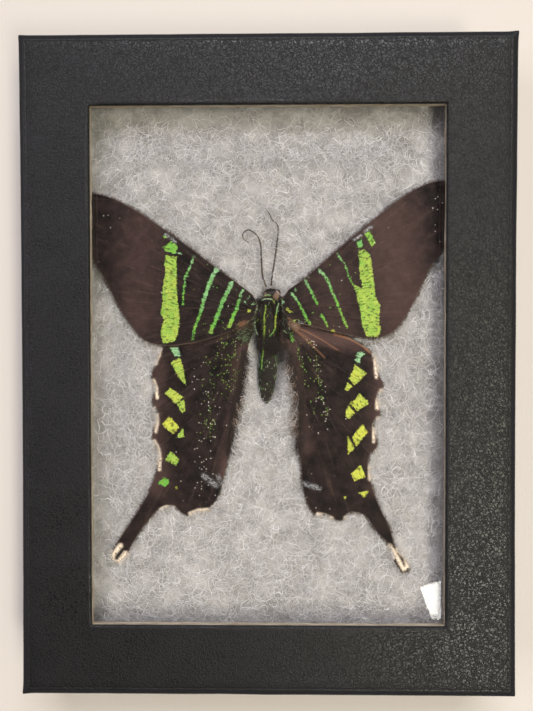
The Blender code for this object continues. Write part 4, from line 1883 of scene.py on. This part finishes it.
    def build(self, hair: Material, eye: Material) -> None:
        """Builds the three body parts, their hair and the eyes."""
        self.forms("thorax", self.thorax, hair)
        self.coat("thorax_hair", self.thorax, (0.5, 1.1), (0.0, -1.0), hair)
        self.forms("head", self.head, hair)
        self.coat("head_hair", self.head, (0.3, 0.6), (0.0, 0.6), hair)
        self.abdomen(hair)
        self.bright_lines(hair)
        self.eyes(eye)
        LOG.info("body: thorax, head, abdomen and eyes")


@dataclass
class Limbs:
    """The two feelers, ringed and thinning to their tips, and the six jointed legs."""

    feeler_radius: float = 0.2
    feeler_rings: int = 48
    leg_radius: float = 0.27
    feelers: dict = field(
        default_factory=lambda: {
            "antenna_left": (
                (-0.3, 17.3, 13.6), (-1.1, 19.7, 14.0), (-1.35, 23.5, 14.1), (-1.5, 26.2, 14.1),
                (-2.2, 28.2, 14.1), (-4.0, 29.5, 14.1), (-5.3, 28.8, 14.1), (-5.2, 27.6, 14.1),
                (-4.1, 26.8, 14.0),
            ),
            "antenna_right": (
                (0.8, 17.5, 13.6), (1.0, 19.4, 14.0), (1.5, 22.7, 14.1), (2.0, 26.3, 14.1),
                (2.3, 29.6, 14.1), (1.9, 30.9, 14.1), (0.9, 31.8, 14.1), (0.5, 32.8, 14.1),
                (-0.2, 33.8, 14.0),
            ),
        }
    )
    legs: dict = field(
        default_factory=lambda: {
            "front_leg_left": (
                (-0.9, 12.4, 8.4), (-2.9, 13.8, 8.2), (-3.6, 15.8, 8.4), (-2.6, 17.4, 8.6),
                (-0.6, 17.9, 8.7),
            ),
            "front_leg_right": (
                (1.8, 12.4, 8.4), (3.8, 13.9, 8.2), (4.5, 15.8, 8.4), (3.9, 17.3, 8.6), (1.9, 17.6, 8.7),
            ),
            "middle_leg_left": (
                (-1.6, 9.6, 8.0), (-4.0, 9.2, 8.2), (-4.4, 6.4, 8.0), (-3.4, 3.6, 8.2), (-3.0, 1.4, 8.4),
            ),
            "middle_leg_right": (
                (2.5, 9.6, 8.0), (4.9, 9.2, 8.2), (5.3, 6.4, 8.0), (4.4, 3.8, 8.2), (3.9, 1.4, 8.4),
            ),
            "hind_leg_left": (
                (-1.0, 7.0, 8.0), (-2.2, 5.2, 7.0), (-2.8, 2.6, 6.6), (-2.9, 0.4, 9.4), (-3.1, -1.4, 12.6),
            ),
            "hind_leg_right": (
                (1.9, 7.0, 8.0), (3.0, 5.4, 7.0), (3.2, 3.4, 6.6), (3.0, 1.9, 9.4), (2.8, 1.0, 12.4),
            ),
        }
    )

    def build(self, horn: Material) -> None:
        """Builds every feeler and leg as one ringed, tapering tube each."""
        for node, stops in self.feelers.items():
            path = smooth_path(stops, 240)
            share = np.linspace(0, 1, 240)
            rings = 1 + 0.16 * np.sin(share * 2 * np.pi * self.feeler_rings)
            taper = self.feeler_radius * (1 - 0.62 * share**1.6)
            self.limb(node, path, taper * rings, horn)
        for node, stops in self.legs.items():
            path = smooth_path(stops, 60)
            share = np.linspace(0, 1, 60)
            knees = 1 + 0.3 * np.abs(np.cos(share * np.pi * 2.5)) ** 8
            taper = self.leg_radius * (1 - 0.55 * share)
            self.limb(node, path, taper * knees * 0.8, horn)
        LOG.info("feelers and legs")

    def limb(self, node: str, path: np.ndarray, radii: np.ndarray, horn: Material) -> None:
        """Builds one tube that replaces a node.

        Args:
            node: the frame's node.
            path: its middle line in millimetres.
            radii: its radius at each point.
            horn: its finish.
        """
        piece = strands(node + "_ringed", path[None], radii[None], horn, 10)
        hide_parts(node)


LEFT_BAND = Patch(
    (
        (-19.6, 23.6), (-19.7, 21.9), (-19.7, 17.0), (-19.5, 14.0), (-19.2, 12.6), (-19.1, 10.5),
        (-19.3, 8.2), (-19.7, 6.5), (-20.2, 5.3), (-22.7, 5.0), (-22.9, 6.0), (-23.2, 7.2), (-22.9, 8.7),
        (-22.4, 10.2), (-23.3, 11.5), (-23.0, 12.9), (-22.7, 14.0), (-22.8, 16.3), (-22.5, 18.1),
        (-22.1, 20.4), (-22.3, 22.2), (-22.0, 24.1),
    ),
    0.62,
)
LEFT_TIP = Patch(
    ((-21.1, 27.1), (-19.6, 26.2), (-19.3, 25.5), (-19.8, 24.6), (-20.2, 24.3), (-22.0, 25.0), (-22.7, 25.7),
     (-21.7, 26.2)),
    0.4,
)
RIGHT_BAND = Patch(
    (
        (19.6, 24.8), (19.6, 23.6), (19.8, 22.6), (19.7, 21.3), (19.8, 20.0), (20.1, 18.7), (20.6, 17.2),
        (20.1, 16.9), (18.9, 17.3), (18.7, 16.7), (19.3, 15.7), (19.4, 14.1), (19.8, 13.2), (20.1, 11.1),
        (20.3, 9.1), (20.9, 7.6), (21.3, 6.5), (23.4, 6.4), (24.2, 6.8), (24.4, 7.9), (24.1, 8.9),
        (24.1, 11.4), (24.3, 13.1), (23.5, 14.4), (23.2, 15.7), (23.0, 17.5), (22.7, 19.7), (22.5, 21.3),
        (22.2, 23.3), (21.9, 24.3), (20.7, 25.1),
    ),
    0.62,
)
FOREWING_LEFT = Wing(
    "forewing_left",
    (-2.5, 12.0), (
        LEFT_BAND,
        LEFT_TIP,
        Dot((-22.2, 28.0), 0.35, 0.4),
        Stripe(((-20.3, 24.8), (-18.4, 24.2)), (0.2, 0.15), (0.0, 0.0)),
        Stripe(((-15.9, 23.9), (-16.2, 22.9), (-16.8, 21.4), (-17.4, 20.3), (-17.9, 19.2), (-17.9, 17.8),
                (-18.1, 16.7), (-18.3, 15.1), (-18.3, 13.3)), (0.4, 0.35), (0.1, 0.4)),
        Stripe(((-11.0, 20.9), (-12.0, 19.3), (-13.0, 16.7), (-13.7, 14.6), (-14.1, 12.9), (-14.7, 11.3),
                (-15.2, 9.8), (-15.8, 8.3), (-16.3, 5.9)), (0.9, 0.4), (0.12, 0.4)),
        Stripe(((-7.7, 18.2), (-8.2, 17.1), (-8.5, 16.3), (-9.1, 15.2), (-9.8, 13.9), (-10.2, 12.6),
                (-10.8, 11.2), (-11.5, 9.4), (-12.0, 8.4), (-12.3, 7.5)), (0.85, 0.75), (0.1, 0.45)),
        Stripe(((-5.4, 16.4), (-5.8, 15.8), (-5.9, 14.9), (-6.2, 14.1), (-6.5, 13.0), (-7.0, 11.7),
                (-7.5, 10.8), (-7.7, 10.0), (-8.3, 8.7)), (0.4, 0.85), (0.15, 0.5)),
        Stripe(((-3.8, 15.2), (-4.5, 14.4)), (0.25, 0.2), (0.1, 0.1)),
        Dot((-4.8, 13.9), 0.22, 0.0),
        Stripe(((-2.8, 13.9), (-3.5, 13.1)), (0.18, 0.15), (0.1, 0.1)),
        Dot((-4.0, 12.0), 0.42, 0.85),
    ),
    (
        Zone(Fact.DUST, ((-9.0, 9.5), (-7.0, 6.5)), 2.2, 0.35),
        Zone(Fact.DUST, ((-12.0, 20.0), (-9.0, 12.0)), 9.0, 0.03),
        Zone(Fact.TAN, ((-5.7, 9.0), (-3.8, 9.2)), 0.7, 0.8),
        Zone(Fact.FLECK, ((-38.0, 34.0), (-36.5, 20.0)), 5.0, 0.07),
        Zone(Fact.FLECK, ((-34.0, 26.0), (-14.0, 14.0)), 9.0, 0.012),
        Zone(Fact.PALE, ((-22.0, 28.5), (-21.4, 28.0)), 0.35, 0.9),
        Zone(Fact.PALE, ((-20.8, 27.8), (-19.9, 26.9)), 0.3, 0.9),
        Zone(Fact.BROWN, ((-27.0, 30.0), (-28.0, 10.0)), 6.0, 0.36),
    ),
    (
        ((-3.6, 13.6), (-7.3, 16.6), (-15.8, 23.2), (-24.4, 30.2), (-28.7, 33.7), (-33.0, 35.7),
         (-38.0, 36.5)),
        ((-3.0, 13.6), (-12.0, 20.5), (-22.0, 28.6)),
        ((-3.0, 13.0), (-12.0, 18.6), (-24.0, 26.0)),
        ((-3.2, 12.6), (-12.5, 16.8), (-26.0, 21.8)),
        ((-3.4, 12.2), (-13.0, 14.6), (-26.0, 16.6)),
        ((-3.6, 11.8), (-13.0, 12.6), (-26.0, 12.0)),
        ((-3.8, 11.2), (-13.0, 10.4), (-25.0, 7.6)),
        ((-4.0, 10.6), (-11.0, 8.2), (-20.0, 4.0)),
    ),
)
FOREWING_RIGHT = Wing(
    "forewing_right",
    (3.6, 12.0), (
        RIGHT_BAND,
        Patch(((19.2, 26.7), (20.1, 27.6), (20.6, 25.9), (19.6, 25.3)), 0.3),
        Patch(((21.0, 28.5), (22.0, 29.2), (22.7, 27.6), (23.2, 26.6), (22.5, 25.7), (21.7, 27.1)), 0.45),
        Stripe(((15.1, 24.3), (15.6, 23.3), (16.5, 22.2), (17.1, 20.8), (17.4, 19.5), (18.1, 18.2),
                (18.8, 17.2)),
               (0.28, 0.28), (0.1, 0.4)),
        Stripe(((11.0, 20.9), (12.2, 19.7), (12.9, 18.6), (13.4, 17.6), (13.8, 16.4), (14.3, 15.3),
                (15.0, 13.7),
                (15.4, 12.6), (15.8, 11.5), (16.3, 10.3), (17.2, 8.4)), (0.5, 0.45), (0.12, 0.5)),
        Stripe(((8.2, 18.4), (8.5, 17.7), (9.0, 16.9), (9.5, 15.9), (10.0, 14.9), (10.6, 13.8), (10.8, 13.4)),
               (0.5, 0.45), (0.12, 0.4)),
        Stripe(((11.5, 11.1), (12.3, 10.1), (12.9, 8.6)), (0.5, 0.4), (0.35, 0.5)),
        Stripe(((5.0, 15.8), (5.8, 15.1), (6.0, 14.7), (6.6, 14.0), (7.1, 12.9), (7.6, 12.1), (8.0, 11.1),
                (8.5, 10.1), (9.2, 9.2)), (0.4, 0.5), (0.15, 0.5)),
        Stripe(((5.9, 16.7), (6.3, 16.1)), (0.25, 0.25), (0.1, 0.1)),
        Dot((3.3, 13.8), 0.3, 0.05),
        Dot((4.3, 12.3), 0.35, 0.85),
        Dot((4.9, 11.8), 0.3, 0.85),
        Dot((5.8, 9.8), 0.3, 0.5),
        Dot((14.1, 7.6), 0.35, 0.95),
        Dot((9.7, 11.6), 0.18, 0.5),
        Dot((13.4, 12.6), 0.15, 0.4),
    ),
    (
        Zone(Fact.DUST, ((9.0, 9.5), (7.0, 8.0)), 2.0, 0.25),
        Zone(Fact.DUST, ((12.0, 20.0), (9.0, 12.0)), 9.0, 0.03),
        Zone(Fact.TAN, ((4.4, 9.8), (5.6, 8.6)), 0.8, 0.8),
        Zone(Fact.PALE, ((7.0, 8.8), (8.3, 7.1)), 0.9, 0.7),
        Zone(Fact.FLECK, ((37.5, 37.0), (36.8, 27.0)), 2.0, 0.14),
        Zone(Fact.FLECK, ((36.0, 32.0), (14.0, 14.0)), 9.0, 0.012),
        Zone(Fact.PALE, ((18.6, 27.2), (20.1, 28.1)), 0.3, 0.9),
        Zone(Fact.PALE, ((20.9, 29.0), (22.4, 30.0)), 0.3, 0.9),
        # These brown zones are stronger than the left forewing's, and the inner one has no twin: partly brown
        # ground, partly painted sheen of the light from the right.
        Zone(Fact.BROWN, ((26.0, 31.0), (29.0, 12.0)), 8.0, 0.6),
        Zone(Fact.BROWN, ((14.0, 20.0), (15.0, 9.0)), 7.0, 0.3),
    ),
    (
        ((4.0, 14.6), (8.3, 18.5), (16.9, 25.4), (21.3, 29.2), (25.5, 33.0), (29.8, 36.2),
         (34.0, 38.1), (38.0, 39.0)),
        ((4.0, 13.6), (12.5, 21.5), (22.0, 30.2)),
        ((4.0, 13.2), (12.5, 19.6), (25.0, 27.0)),
        ((4.2, 12.8), (12.8, 17.4), (27.0, 22.8)),
        ((4.4, 12.3), (13.2, 15.4), (28.0, 18.0)),
        ((4.6, 11.8), (13.5, 13.2), (27.5, 13.8)),
        ((4.8, 11.3), (13.5, 11.0), (26.5, 9.2)),
        ((5.0, 10.8), (12.0, 8.8), (20.0, 4.6)),
    ),
)
HINDWING_LEFT = Wing(
    "hindwing_left",
    (-2.6, 8.5), (
        Patch(((-21.2, 4.0), (-19.5, 4.2), (-19.0, 2.3), (-20.1, 2.1), (-20.8, 3.2)), 0.05),
        Patch(((-21.1, 0.8), (-19.0, 1.9), (-18.2, -1.1), (-17.8, -4.2), (-19.5, -2.4)), 0.7),
        Patch(((-22.5, -5.9), (-21.2, -4.7), (-18.4, -6.7), (-20.0, -8.2)), 0.78),
        Patch(((-19.7, -8.4), (-18.2, -7.2), (-18.0, -9.7), (-18.7, -10.2)), 0.66),
        Patch(((-23.1, -12.8), (-21.5, -11.0), (-19.3, -13.2), (-20.6, -14.9)), 0.92),
        Patch(((-20.0, -15.6), (-18.5, -13.6), (-18.2, -15.6)), 0.6),
        Patch(((-22.4, -20.5), (-21.3, -18.6), (-19.3, -20.3), (-20.0, -21.6)), 0.58),
        Patch(((-24.1, -25.7), (-22.6, -24.2), (-21.5, -25.3), (-22.4, -26.4)), 0.36),
        Dot((-20.0, -26.6), 0.3, 1.0),
    ),
    (
        Zone(Fact.DUST, ((-8.5, 5.0), (-7.5, 1.0), (-8.0, -3.0)), 3.6, 0.5),
        Zone(Fact.DUST, ((-12.0, 2.0), (-13.0, -8.0), (-13.5, -16.0)), 2.2, 0.16),
        Zone(Fact.DUST, ((-13.0, -11.0), (-12.6, -12.6)), 1.4, 0.6),
        Zone(Fact.FLECK, ((-14.5, -2.0), (-12.5, -6.5), (-13.5, -16.0), (-15.5, -27.0)), 2.6, 0.28),
        Zone(Fact.FLECK, ((-10.0, 4.0), (-9.0, -14.0), (-16.0, -26.0)), 8.0, 0.06),
        Zone(Fact.CREAM, ((-23.2, 4.6), (-23.6, 2.7), (-24.5, 0.5)), 0.45, 1.0),
        Zone(Fact.CREAM, ((-24.9, -3.0), (-24.3, -4.7), (-24.1, -6.9)), 0.4, 1.0),
        Zone(Fact.CREAM, ((-24.7, -9.1), (-24.1, -10.4), (-24.1, -12.6), (-24.5, -14.3)), 0.4, 0.8),
        Zone(Fact.CREAM, ((-24.8, -16.3), (-23.9, -17.8), (-23.5, -20.0), (-23.7, -22.6)), 0.4, 0.9),
        Zone(Fact.CREAM, ((-23.5, -31.3), (-22.2, -30.7), (-20.5, -30.9)), 0.4, 0.9),
        Zone(Fact.CREAM, ((-17.0, -32.2), (-15.2, -31.5), (-13.0, -31.3)), 0.45, 0.8),
        Zone(Fact.CREAM, ((-32.3, -39.3), (-33.9, -41.2), (-34.2, -42.8), (-32.8, -43.0),
                          (-31.2, -41.0)), 0.6, 1.0),
        Zone(Fact.PALE, ((-14.0, -23.9), (-11.2, -26.1)), 0.6, 0.7),
        Zone(Fact.PALE, ((-10.9, -23.9), (-10.1, -25.6)), 0.5, 0.6),
        Zone(Fact.BROWN, ((-24.0, 6.0), (-18.0, 6.4), (-10.0, 8.0)), 2.2, 0.8),
        Zone(Fact.BROWN, ((-5.0, 3.0), (-6.0, -10.0), (-9.0, -23.0)), 2.6, 0.7),
        Zone(Fact.BROWN, ((-25.0, 0.0), (-25.5, -12.0), (-24.0, -26.0)), 3.0, 0.5),
    ),
    (
        ((-3.6, 8.0), (-12.0, 5.0), (-26.0, 1.2)),
        ((-3.6, 7.6), (-12.0, 2.0), (-25.0, -4.4)),
        ((-3.6, 7.2), (-11.0, -2.0), (-24.0, -10.6)),
        ((-3.6, 6.8), (-10.0, -5.0), (-24.0, -18.0)),
        ((-3.6, 6.4), (-9.0, -8.0), (-21.0, -25.0)),
        ((-3.6, 6.0), (-7.6, -9.0), (-14.0, -26.0)),
        ((-3.6, 5.6), (-6.4, -8.0), (-10.0, -25.0)),
    ),
)
HINDWING_RIGHT = Wing(
    "hindwing_right",
    (3.4, 8.2), (
        Patch(((19.4, 2.9), (20.8, 3.1), (21.0, 2.6), (20.2, 1.9), (20.0, 0.5), (19.0, 1.1),
               (19.1, 1.6)), 0.05),
        Patch(((18.9, 0.4), (21.5, -1.6), (20.1, -3.1), (18.9, -4.1), (17.6, -2.8), (18.7, -0.5)), 0.8),
        Patch(((17.2, -3.5), (18.5, -4.5), (17.2, -5.4), (16.8, -5.1)), 0.85),
        Patch(((19.8, -6.0), (21.6, -7.4), (21.9, -8.3), (20.5, -8.9), (19.4, -9.8), (17.8, -8.0),
               (19.1, -7.1)), 0.88),
        Patch(((17.5, -8.5), (19.0, -10.1), (18.3, -10.8), (17.5, -11.4), (16.8, -10.7)), 0.9),
        Patch(((20.6, -12.5), (21.7, -14.4), (19.3, -17.4), (18.3, -15.5)), 0.93),
        Patch(((17.4, -15.3), (18.9, -17.9), (17.4, -19.2)), 0.95),
        Patch(((18.1, -23.5), (20.2, -21.5), (21.3, -24.1), (18.9, -25.0)), 0.95),
        Patch(((19.8, -27.5), (21.9, -27.1), (21.1, -28.8)), 0.9),
        Dot((16.8, -28.6), 0.3, 1.0),
        Stripe(((4.3, 7.3), (4.9, 6.3), (5.4, 5.4)), (0.9, 0.5), (0.35, 0.35), 0.9),
    ),
    (
        Zone(Fact.DUST, ((4.2, 7.6), (4.9, 6.4), (5.6, 5.2)), 0.9, 1.0),
        Zone(Fact.DUST, ((5.5, 5.5), (6.4, 3.9), (7.2, 1.8), (7.7, -0.4)), 0.5, 0.8),
        Zone(Fact.DUST, ((7.7, -0.4), (8.1, -3.0), (8.5, -5.6), (9.4, -8.0)), 0.4, 0.5),
        Zone(Fact.DUST, ((8.8, 5.4), (10.0, 3.1), (10.7, 1.3), (11.2, -2.0), (11.6, -5.2),
                         (12.8, -10.6)), 0.6, 0.5),
        Zone(Fact.DUST, ((7.0, 4.0), (9.5, -2.0), (10.5, -8.0)), 3.0, 0.07),
        Zone(Fact.FLECK, ((9.4, 5.0), (10.8, 1.0), (11.8, -5.2), (13.0, -12.6)), 1.0, 0.4),
        Zone(Fact.FLECK, ((8.0, 4.0), (9.0, -14.0), (14.0, -28.0)), 7.0, 0.045),
        Zone(Fact.CREAM, ((22.6, 3.9), (23.2, 1.8), (23.4, -0.4), (23.6, -2.4)), 0.4, 1.0),
        Zone(Fact.CREAM, ((24.7, -5.2), (24.1, -6.5), (23.7, -8.0), (23.8, -9.2)), 0.45, 1.0),
        Zone(Fact.CREAM, ((23.9, -11.2), (23.2, -12.7), (23.0, -14.7), (23.0, -16.4)), 0.4, 0.9),
        Zone(Fact.CREAM, ((23.5, -18.4), (22.4, -19.9), (22.1, -22.1), (22.2, -24.7)), 0.4, 0.9),
        Zone(Fact.CREAM, ((19.8, -32.3), (18.3, -32.1), (16.8, -33.0)), 0.4, 0.7),
        Zone(Fact.CREAM, ((13.9, -33.2), (12.4, -32.6), (10.9, -32.3)), 0.5, 0.9),
        Zone(Fact.CREAM, ((26.5, -39.1), (27.6, -40.6), (28.5, -42.3), (29.6, -44.3),
                          (30.4, -43.6)), 0.5, 1.0),
        Zone(Fact.CREAM, ((30.4, -43.6), (29.9, -41.7), (28.2, -39.9)), 0.5, 1.0),
        Zone(Fact.PALE, ((8.0, -25.6), (11.2, -26.7)), 0.6, 0.6),
        Zone(Fact.TAN, ((14.6, 7.0), (17.8, 6.1), (20.4, 4.8), (22.2, 3.1)), 0.4, 0.8),
        Zone(Fact.TAN, ((4.6, 9.2), (6.0, 8.2)), 0.7, 0.8),
        Zone(Fact.TAN, ((4.8, 8.9), (7.0, 7.0), (9.6, 4.6), (12.4, 1.8)), 0.16, 0.55),
        Zone(Fact.TAN, ((4.8, 8.9), (8.3, 7.6), (11.8, 5.7), (15.2, 3.5)), 0.16, 0.55),
        Zone(Fact.TAN, ((5.0, 8.9), (8.0, 6.6), (10.4, 4.9)), 0.12, 0.5),
        Zone(Fact.BROWN, ((24.0, 5.0), (18.0, 5.4), (8.0, 7.0)), 2.2, 0.8),
        Zone(Fact.BROWN, ((4.6, 4.0), (5.6, -8.0), (7.5, -17.0)), 2.4, 0.7),
        Zone(Fact.BROWN, ((25.0, 0.0), (24.5, -12.0), (24.0, -26.0)), 3.0, 0.5),
    ),
    (
        ((4.4, 8.0), (12.0, 4.6), (25.0, 0.0)),
        ((4.4, 7.6), (12.0, 1.4), (24.0, -5.2)),
        ((4.4, 7.2), (11.0, -2.6), (23.6, -11.4)),
        ((4.4, 6.8), (10.4, -5.6), (22.4, -19.4)),
        ((4.4, 6.4), (9.2, -8.6), (19.4, -26.4)),
        ((4.4, 6.0), (8.0, -9.6), (14.0, -27.6)),
        ((4.4, 5.6), (6.6, -8.6), (9.0, -25.6)),
    ),
)
TUFTS = (
    Tuft("left_margin_tips", ((-6.4, -6.5), (-7.0, -8.5), (-7.4, -10.5), (-7.6, -12.5)), 0.25, -48,
         (0.9, 1.9), 90, (13.85, 14.0), (0.3, 0.95), radius=0.035),
    Tuft("left_margin_fur", ((-5.4, 4.0), (-6.0, -1.0), (-7.0, -6.0), (-8.2, -12.0), (-9.0, -18.0)), 0.5, -66,
         (1.0, 2.4), 1100, (13.85, 14.0), (0.05, 0.34)),
    Tuft("right_margin_tips", ((5.2, 1.5), (5.9, -2.0), (6.5, -6.0), (6.6, -10.0), (6.4, -14.0)), 0.3, -124,
         (1.2, 2.6), 260, (13.85, 14.0), (0.3, 0.8), radius=0.03),
    Tuft("right_margin_fur", ((5.0, 4.0), (6.2, -1.0), (7.2, -6.0), (7.4, -12.0), (7.4, -17.0)), 0.45, -112,
         (1.4, 2.8), 1000, (13.85, 14.0), (0.05, 0.36)),
    Tuft("left_root_fur", ((-3.0, 14.2), (-2.9, 12.0), (-3.2, 9.5), (-3.2, 7.0)), 0.4, -140, (0.7, 1.6), 900,
         (13.9, 14.45), (0.0, 0.25), 0.04, 0.3),
    Tuft("right_root_fur", ((3.2, 14.2), (3.4, 12.0), (3.6, 9.5), (3.2, 7.0)), 0.4, -40, (0.7, 1.6), 900,
         (13.9, 14.45), (0.0, 0.25), 0.03, 0.3),
    Tuft("left_neck_fur", ((-3.8, 14.0), (-2.6, 14.2), (-1.6, 14.6)), 0.25, -110, (0.5, 1.1), 420,
         (13.6, 14.3), (0.0, 0.15)),
    Tuft("right_neck_fur", ((2.6, 14.8), (3.4, 15.0), (4.2, 14.8)), 0.25, -70, (0.5, 1.1), 420,
         (13.6, 14.3), (0.0, 0.15)),
    Tuft("left_shoulder_hair", ((-3.0, 9.5), (-4.2, 9.0), (-5.6, 8.6)), 0.3, 192, (1.0, 2.4), 260,
         (14.2, 14.5), (0.22, 0.55), radius=0.03),
    Tuft("left_axil_hair", ((-3.4, 9.4), (-4.6, 8.0), (-4.4, 6.4)), 0.6, -150, (0.7, 1.6), 620,
         (13.9, 14.4), (0.12, 0.42), 0.22, 0.25, radius=0.035),
    Tuft("right_shoulder_hair", ((4.2, 9.8), (4.6, 9.2), (5.0, 8.9)), 0.2, -22, (0.8, 2.2), 260,
         (14.2, 14.5), (0.42, 0.75), radius=0.03),
    Tuft("right_axil_hair", ((3.2, 8.0), (3.6, 6.6), (3.8, 5.2)), 0.35, -78, (0.8, 1.8), 420,
         (13.8, 14.3), (0.15, 0.5), radius=0.035),
    Tuft("waist_hair", ((-1.4, 6.0), (0.6, 5.4), (2.6, 5.0)), 0.8, -88, (0.8, 1.6), 900,
         (13.5, 14.1), (0.02, 0.25)),
)


# ----------------------------------------------------------------------------------------------------------
# The stage


@dataclass(frozen=True)
class Lamp:
    """A soft rectangular lamp: its place, its sides across and along its lean in metres, watts and colour."""

    name: str
    place: Place
    size: Point
    power: float
    colour: str
    level_turn: float | None = None
    glossy: bool = True

    def hang(self) -> None:
        """Hangs the lamp, facing the case or, when it is level, straight down and turned in degrees."""
        data = bpy.data.lights.new(self.name, "AREA")
        data.shape = "RECTANGLE"
        data.size, data.size_y = self.size
        data.energy = self.power
        data.color = linear(self.colour)[:3]
        obj = bpy.data.objects.new(self.name, data)
        obj.location = self.place
        obj.visible_glossy = obj.visible_transmission = self.glossy
        if self.level_turn is None:
            obj.rotation_euler = (-Vector(self.place)).to_track_quat("-Z", "Y").to_euler()
        else:
            obj.rotation_euler.z = math.radians(self.level_turn)
        bpy.context.scene.collection.objects.link(obj)


@dataclass
class Stage:
    """The pale table, the soft lights and the camera over the case."""

    table_side: float = 1600.0
    camera_at: Place = (1.65, 4.41, 148.8)
    camera_turn: Place = (-0.892, 0.813, -0.06)
    lens: float = 31.27
    room_level: float = 0.02
    room_light: str = "F2F0EC"
    backdrop: str = "E9E3DD"
    lamps: tuple[Lamp, ...] = (
        Lamp("top_window", (0.1, 0.88, 1.03), (0.9, 0.4), 9.4, "FCFBFF"),
        Lamp("top_fill", (0.0, 0.45, 1.1), (0.9, 0.3), 1.2, "FCFBFF", glossy=False),
        Lamp("left_window", (-1.0, 0.1, 0.9), (0.8, 0.5), 3.2, "FFF9FF"),
        Lamp("left_fill", (-0.8, 0.1, 0.95), (0.8, 0.4), 0.6, "FFF9FF", glossy=False),
        Lamp("right_wall", (0.9, -0.05, 0.85), (1.2, 0.2), 1.0, "FFF6D0"),
        Lamp("right_ceiling", (0.42, -0.24, 0.95), (0.14, 0.74), 3.5, "FFF9DA", 0.0),
        Lamp("ceiling_lamp", (0.2696, -0.3312, 0.6), (0.15, 0.17), 0.9, "FFFDF5", 20.0),
        Lamp("front_wall", (0.15, -1.1, 0.9), (1.0, 0.6), 0.1, "FFE6B0"),
    )

    def room(self) -> bpy.types.World:
        """Makes the room: dim as a light, and a pale backdrop where the camera looks past the table."""
        world = bpy.data.worlds.new("room")
        world.use_nodes = True
        tree = world.node_tree
        tree.nodes.clear()
        light = {"Color": linear(self.room_light), "Strength": self.room_level}
        dim = add_node(tree, "Background", {}, light)
        pale = add_node(tree, "Background", {}, {"Color": linear(self.backdrop), "Strength": 1.0})
        seen = (add_node(tree, "LightPath"), "Is Camera Ray")
        shader = add_node(tree, "MixShader", {}, {0: seen, 1: dim, 2: pale})
        end = tree.nodes.new("ShaderNodeOutputWorld")
        tree.links.new(shader.outputs[0], end.inputs["Surface"])
        return world

    def table(self, finish: Material) -> None:
        """Builds the table that the case lies on."""
        shape = bmesh.new()
        bmesh.ops.create_grid(shape, x_segments=8, y_segments=8, size=self.table_side / 2 * MM)
        mesh = bpy.data.meshes.new("table")
        shape.to_mesh(mesh)
        shape.free()
        mesh.materials.append(finish)
        table = bpy.data.objects.new("table", mesh)
        bpy.context.scene.collection.objects.link(table)

    def build(self, finish: Material) -> None:
        """Sets the table, the lights and the camera."""
        self.table(finish)
        for lamp in self.lamps:
            lamp.hang()
        scene = bpy.context.scene
        scene.world = self.room()
        scene.view_settings.view_transform = "Standard"
        data = bpy.data.cameras.new("camera")
        data.lens = self.lens
        data.clip_start = 0.01
        camera = bpy.data.objects.new("camera", data)
        camera.location = Vector(self.camera_at) * MM
        camera.rotation_euler = [math.radians(a) for a in self.camera_turn]
        scene.collection.objects.link(camera)
        scene.camera = camera


def main() -> None:
    """Builds the case, the pad, the glass, the pins and the moth, dresses them and lights them."""
    logging.basicConfig(level=logging.INFO, format="%(message)s")
    paper, card, board = Leatherette().build(), LinedCard().build(), CutBoard().build()
    scales, hair, horn = WingScales().build(), MothHair().build(), Horn().build()
    Lid().build(paper, card, board)
    Tray().build(paper, card)
    GlassPane().build(WindowGlass().build())
    Pins().build(PinSteel().build())
    wings = (FOREWING_LEFT, FOREWING_RIGHT, HINDWING_LEFT, HINDWING_RIGHT)
    for wing in wings:
        wing.build(scales, hair)
    outlines = [(wing.outline(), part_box(wing.node)[0].z / MM) for wing in wings]
    Pad(outlines=outlines).build(Wadding().build(), PlainFibre().build())
    Body().build(hair, CompoundEye().build())
    for tuft in TUFTS:
        tuft.build(hair)
    Limbs().build(horn)
    Stage().build(TableTop().build())


if __name__ == "__main__":
    main()
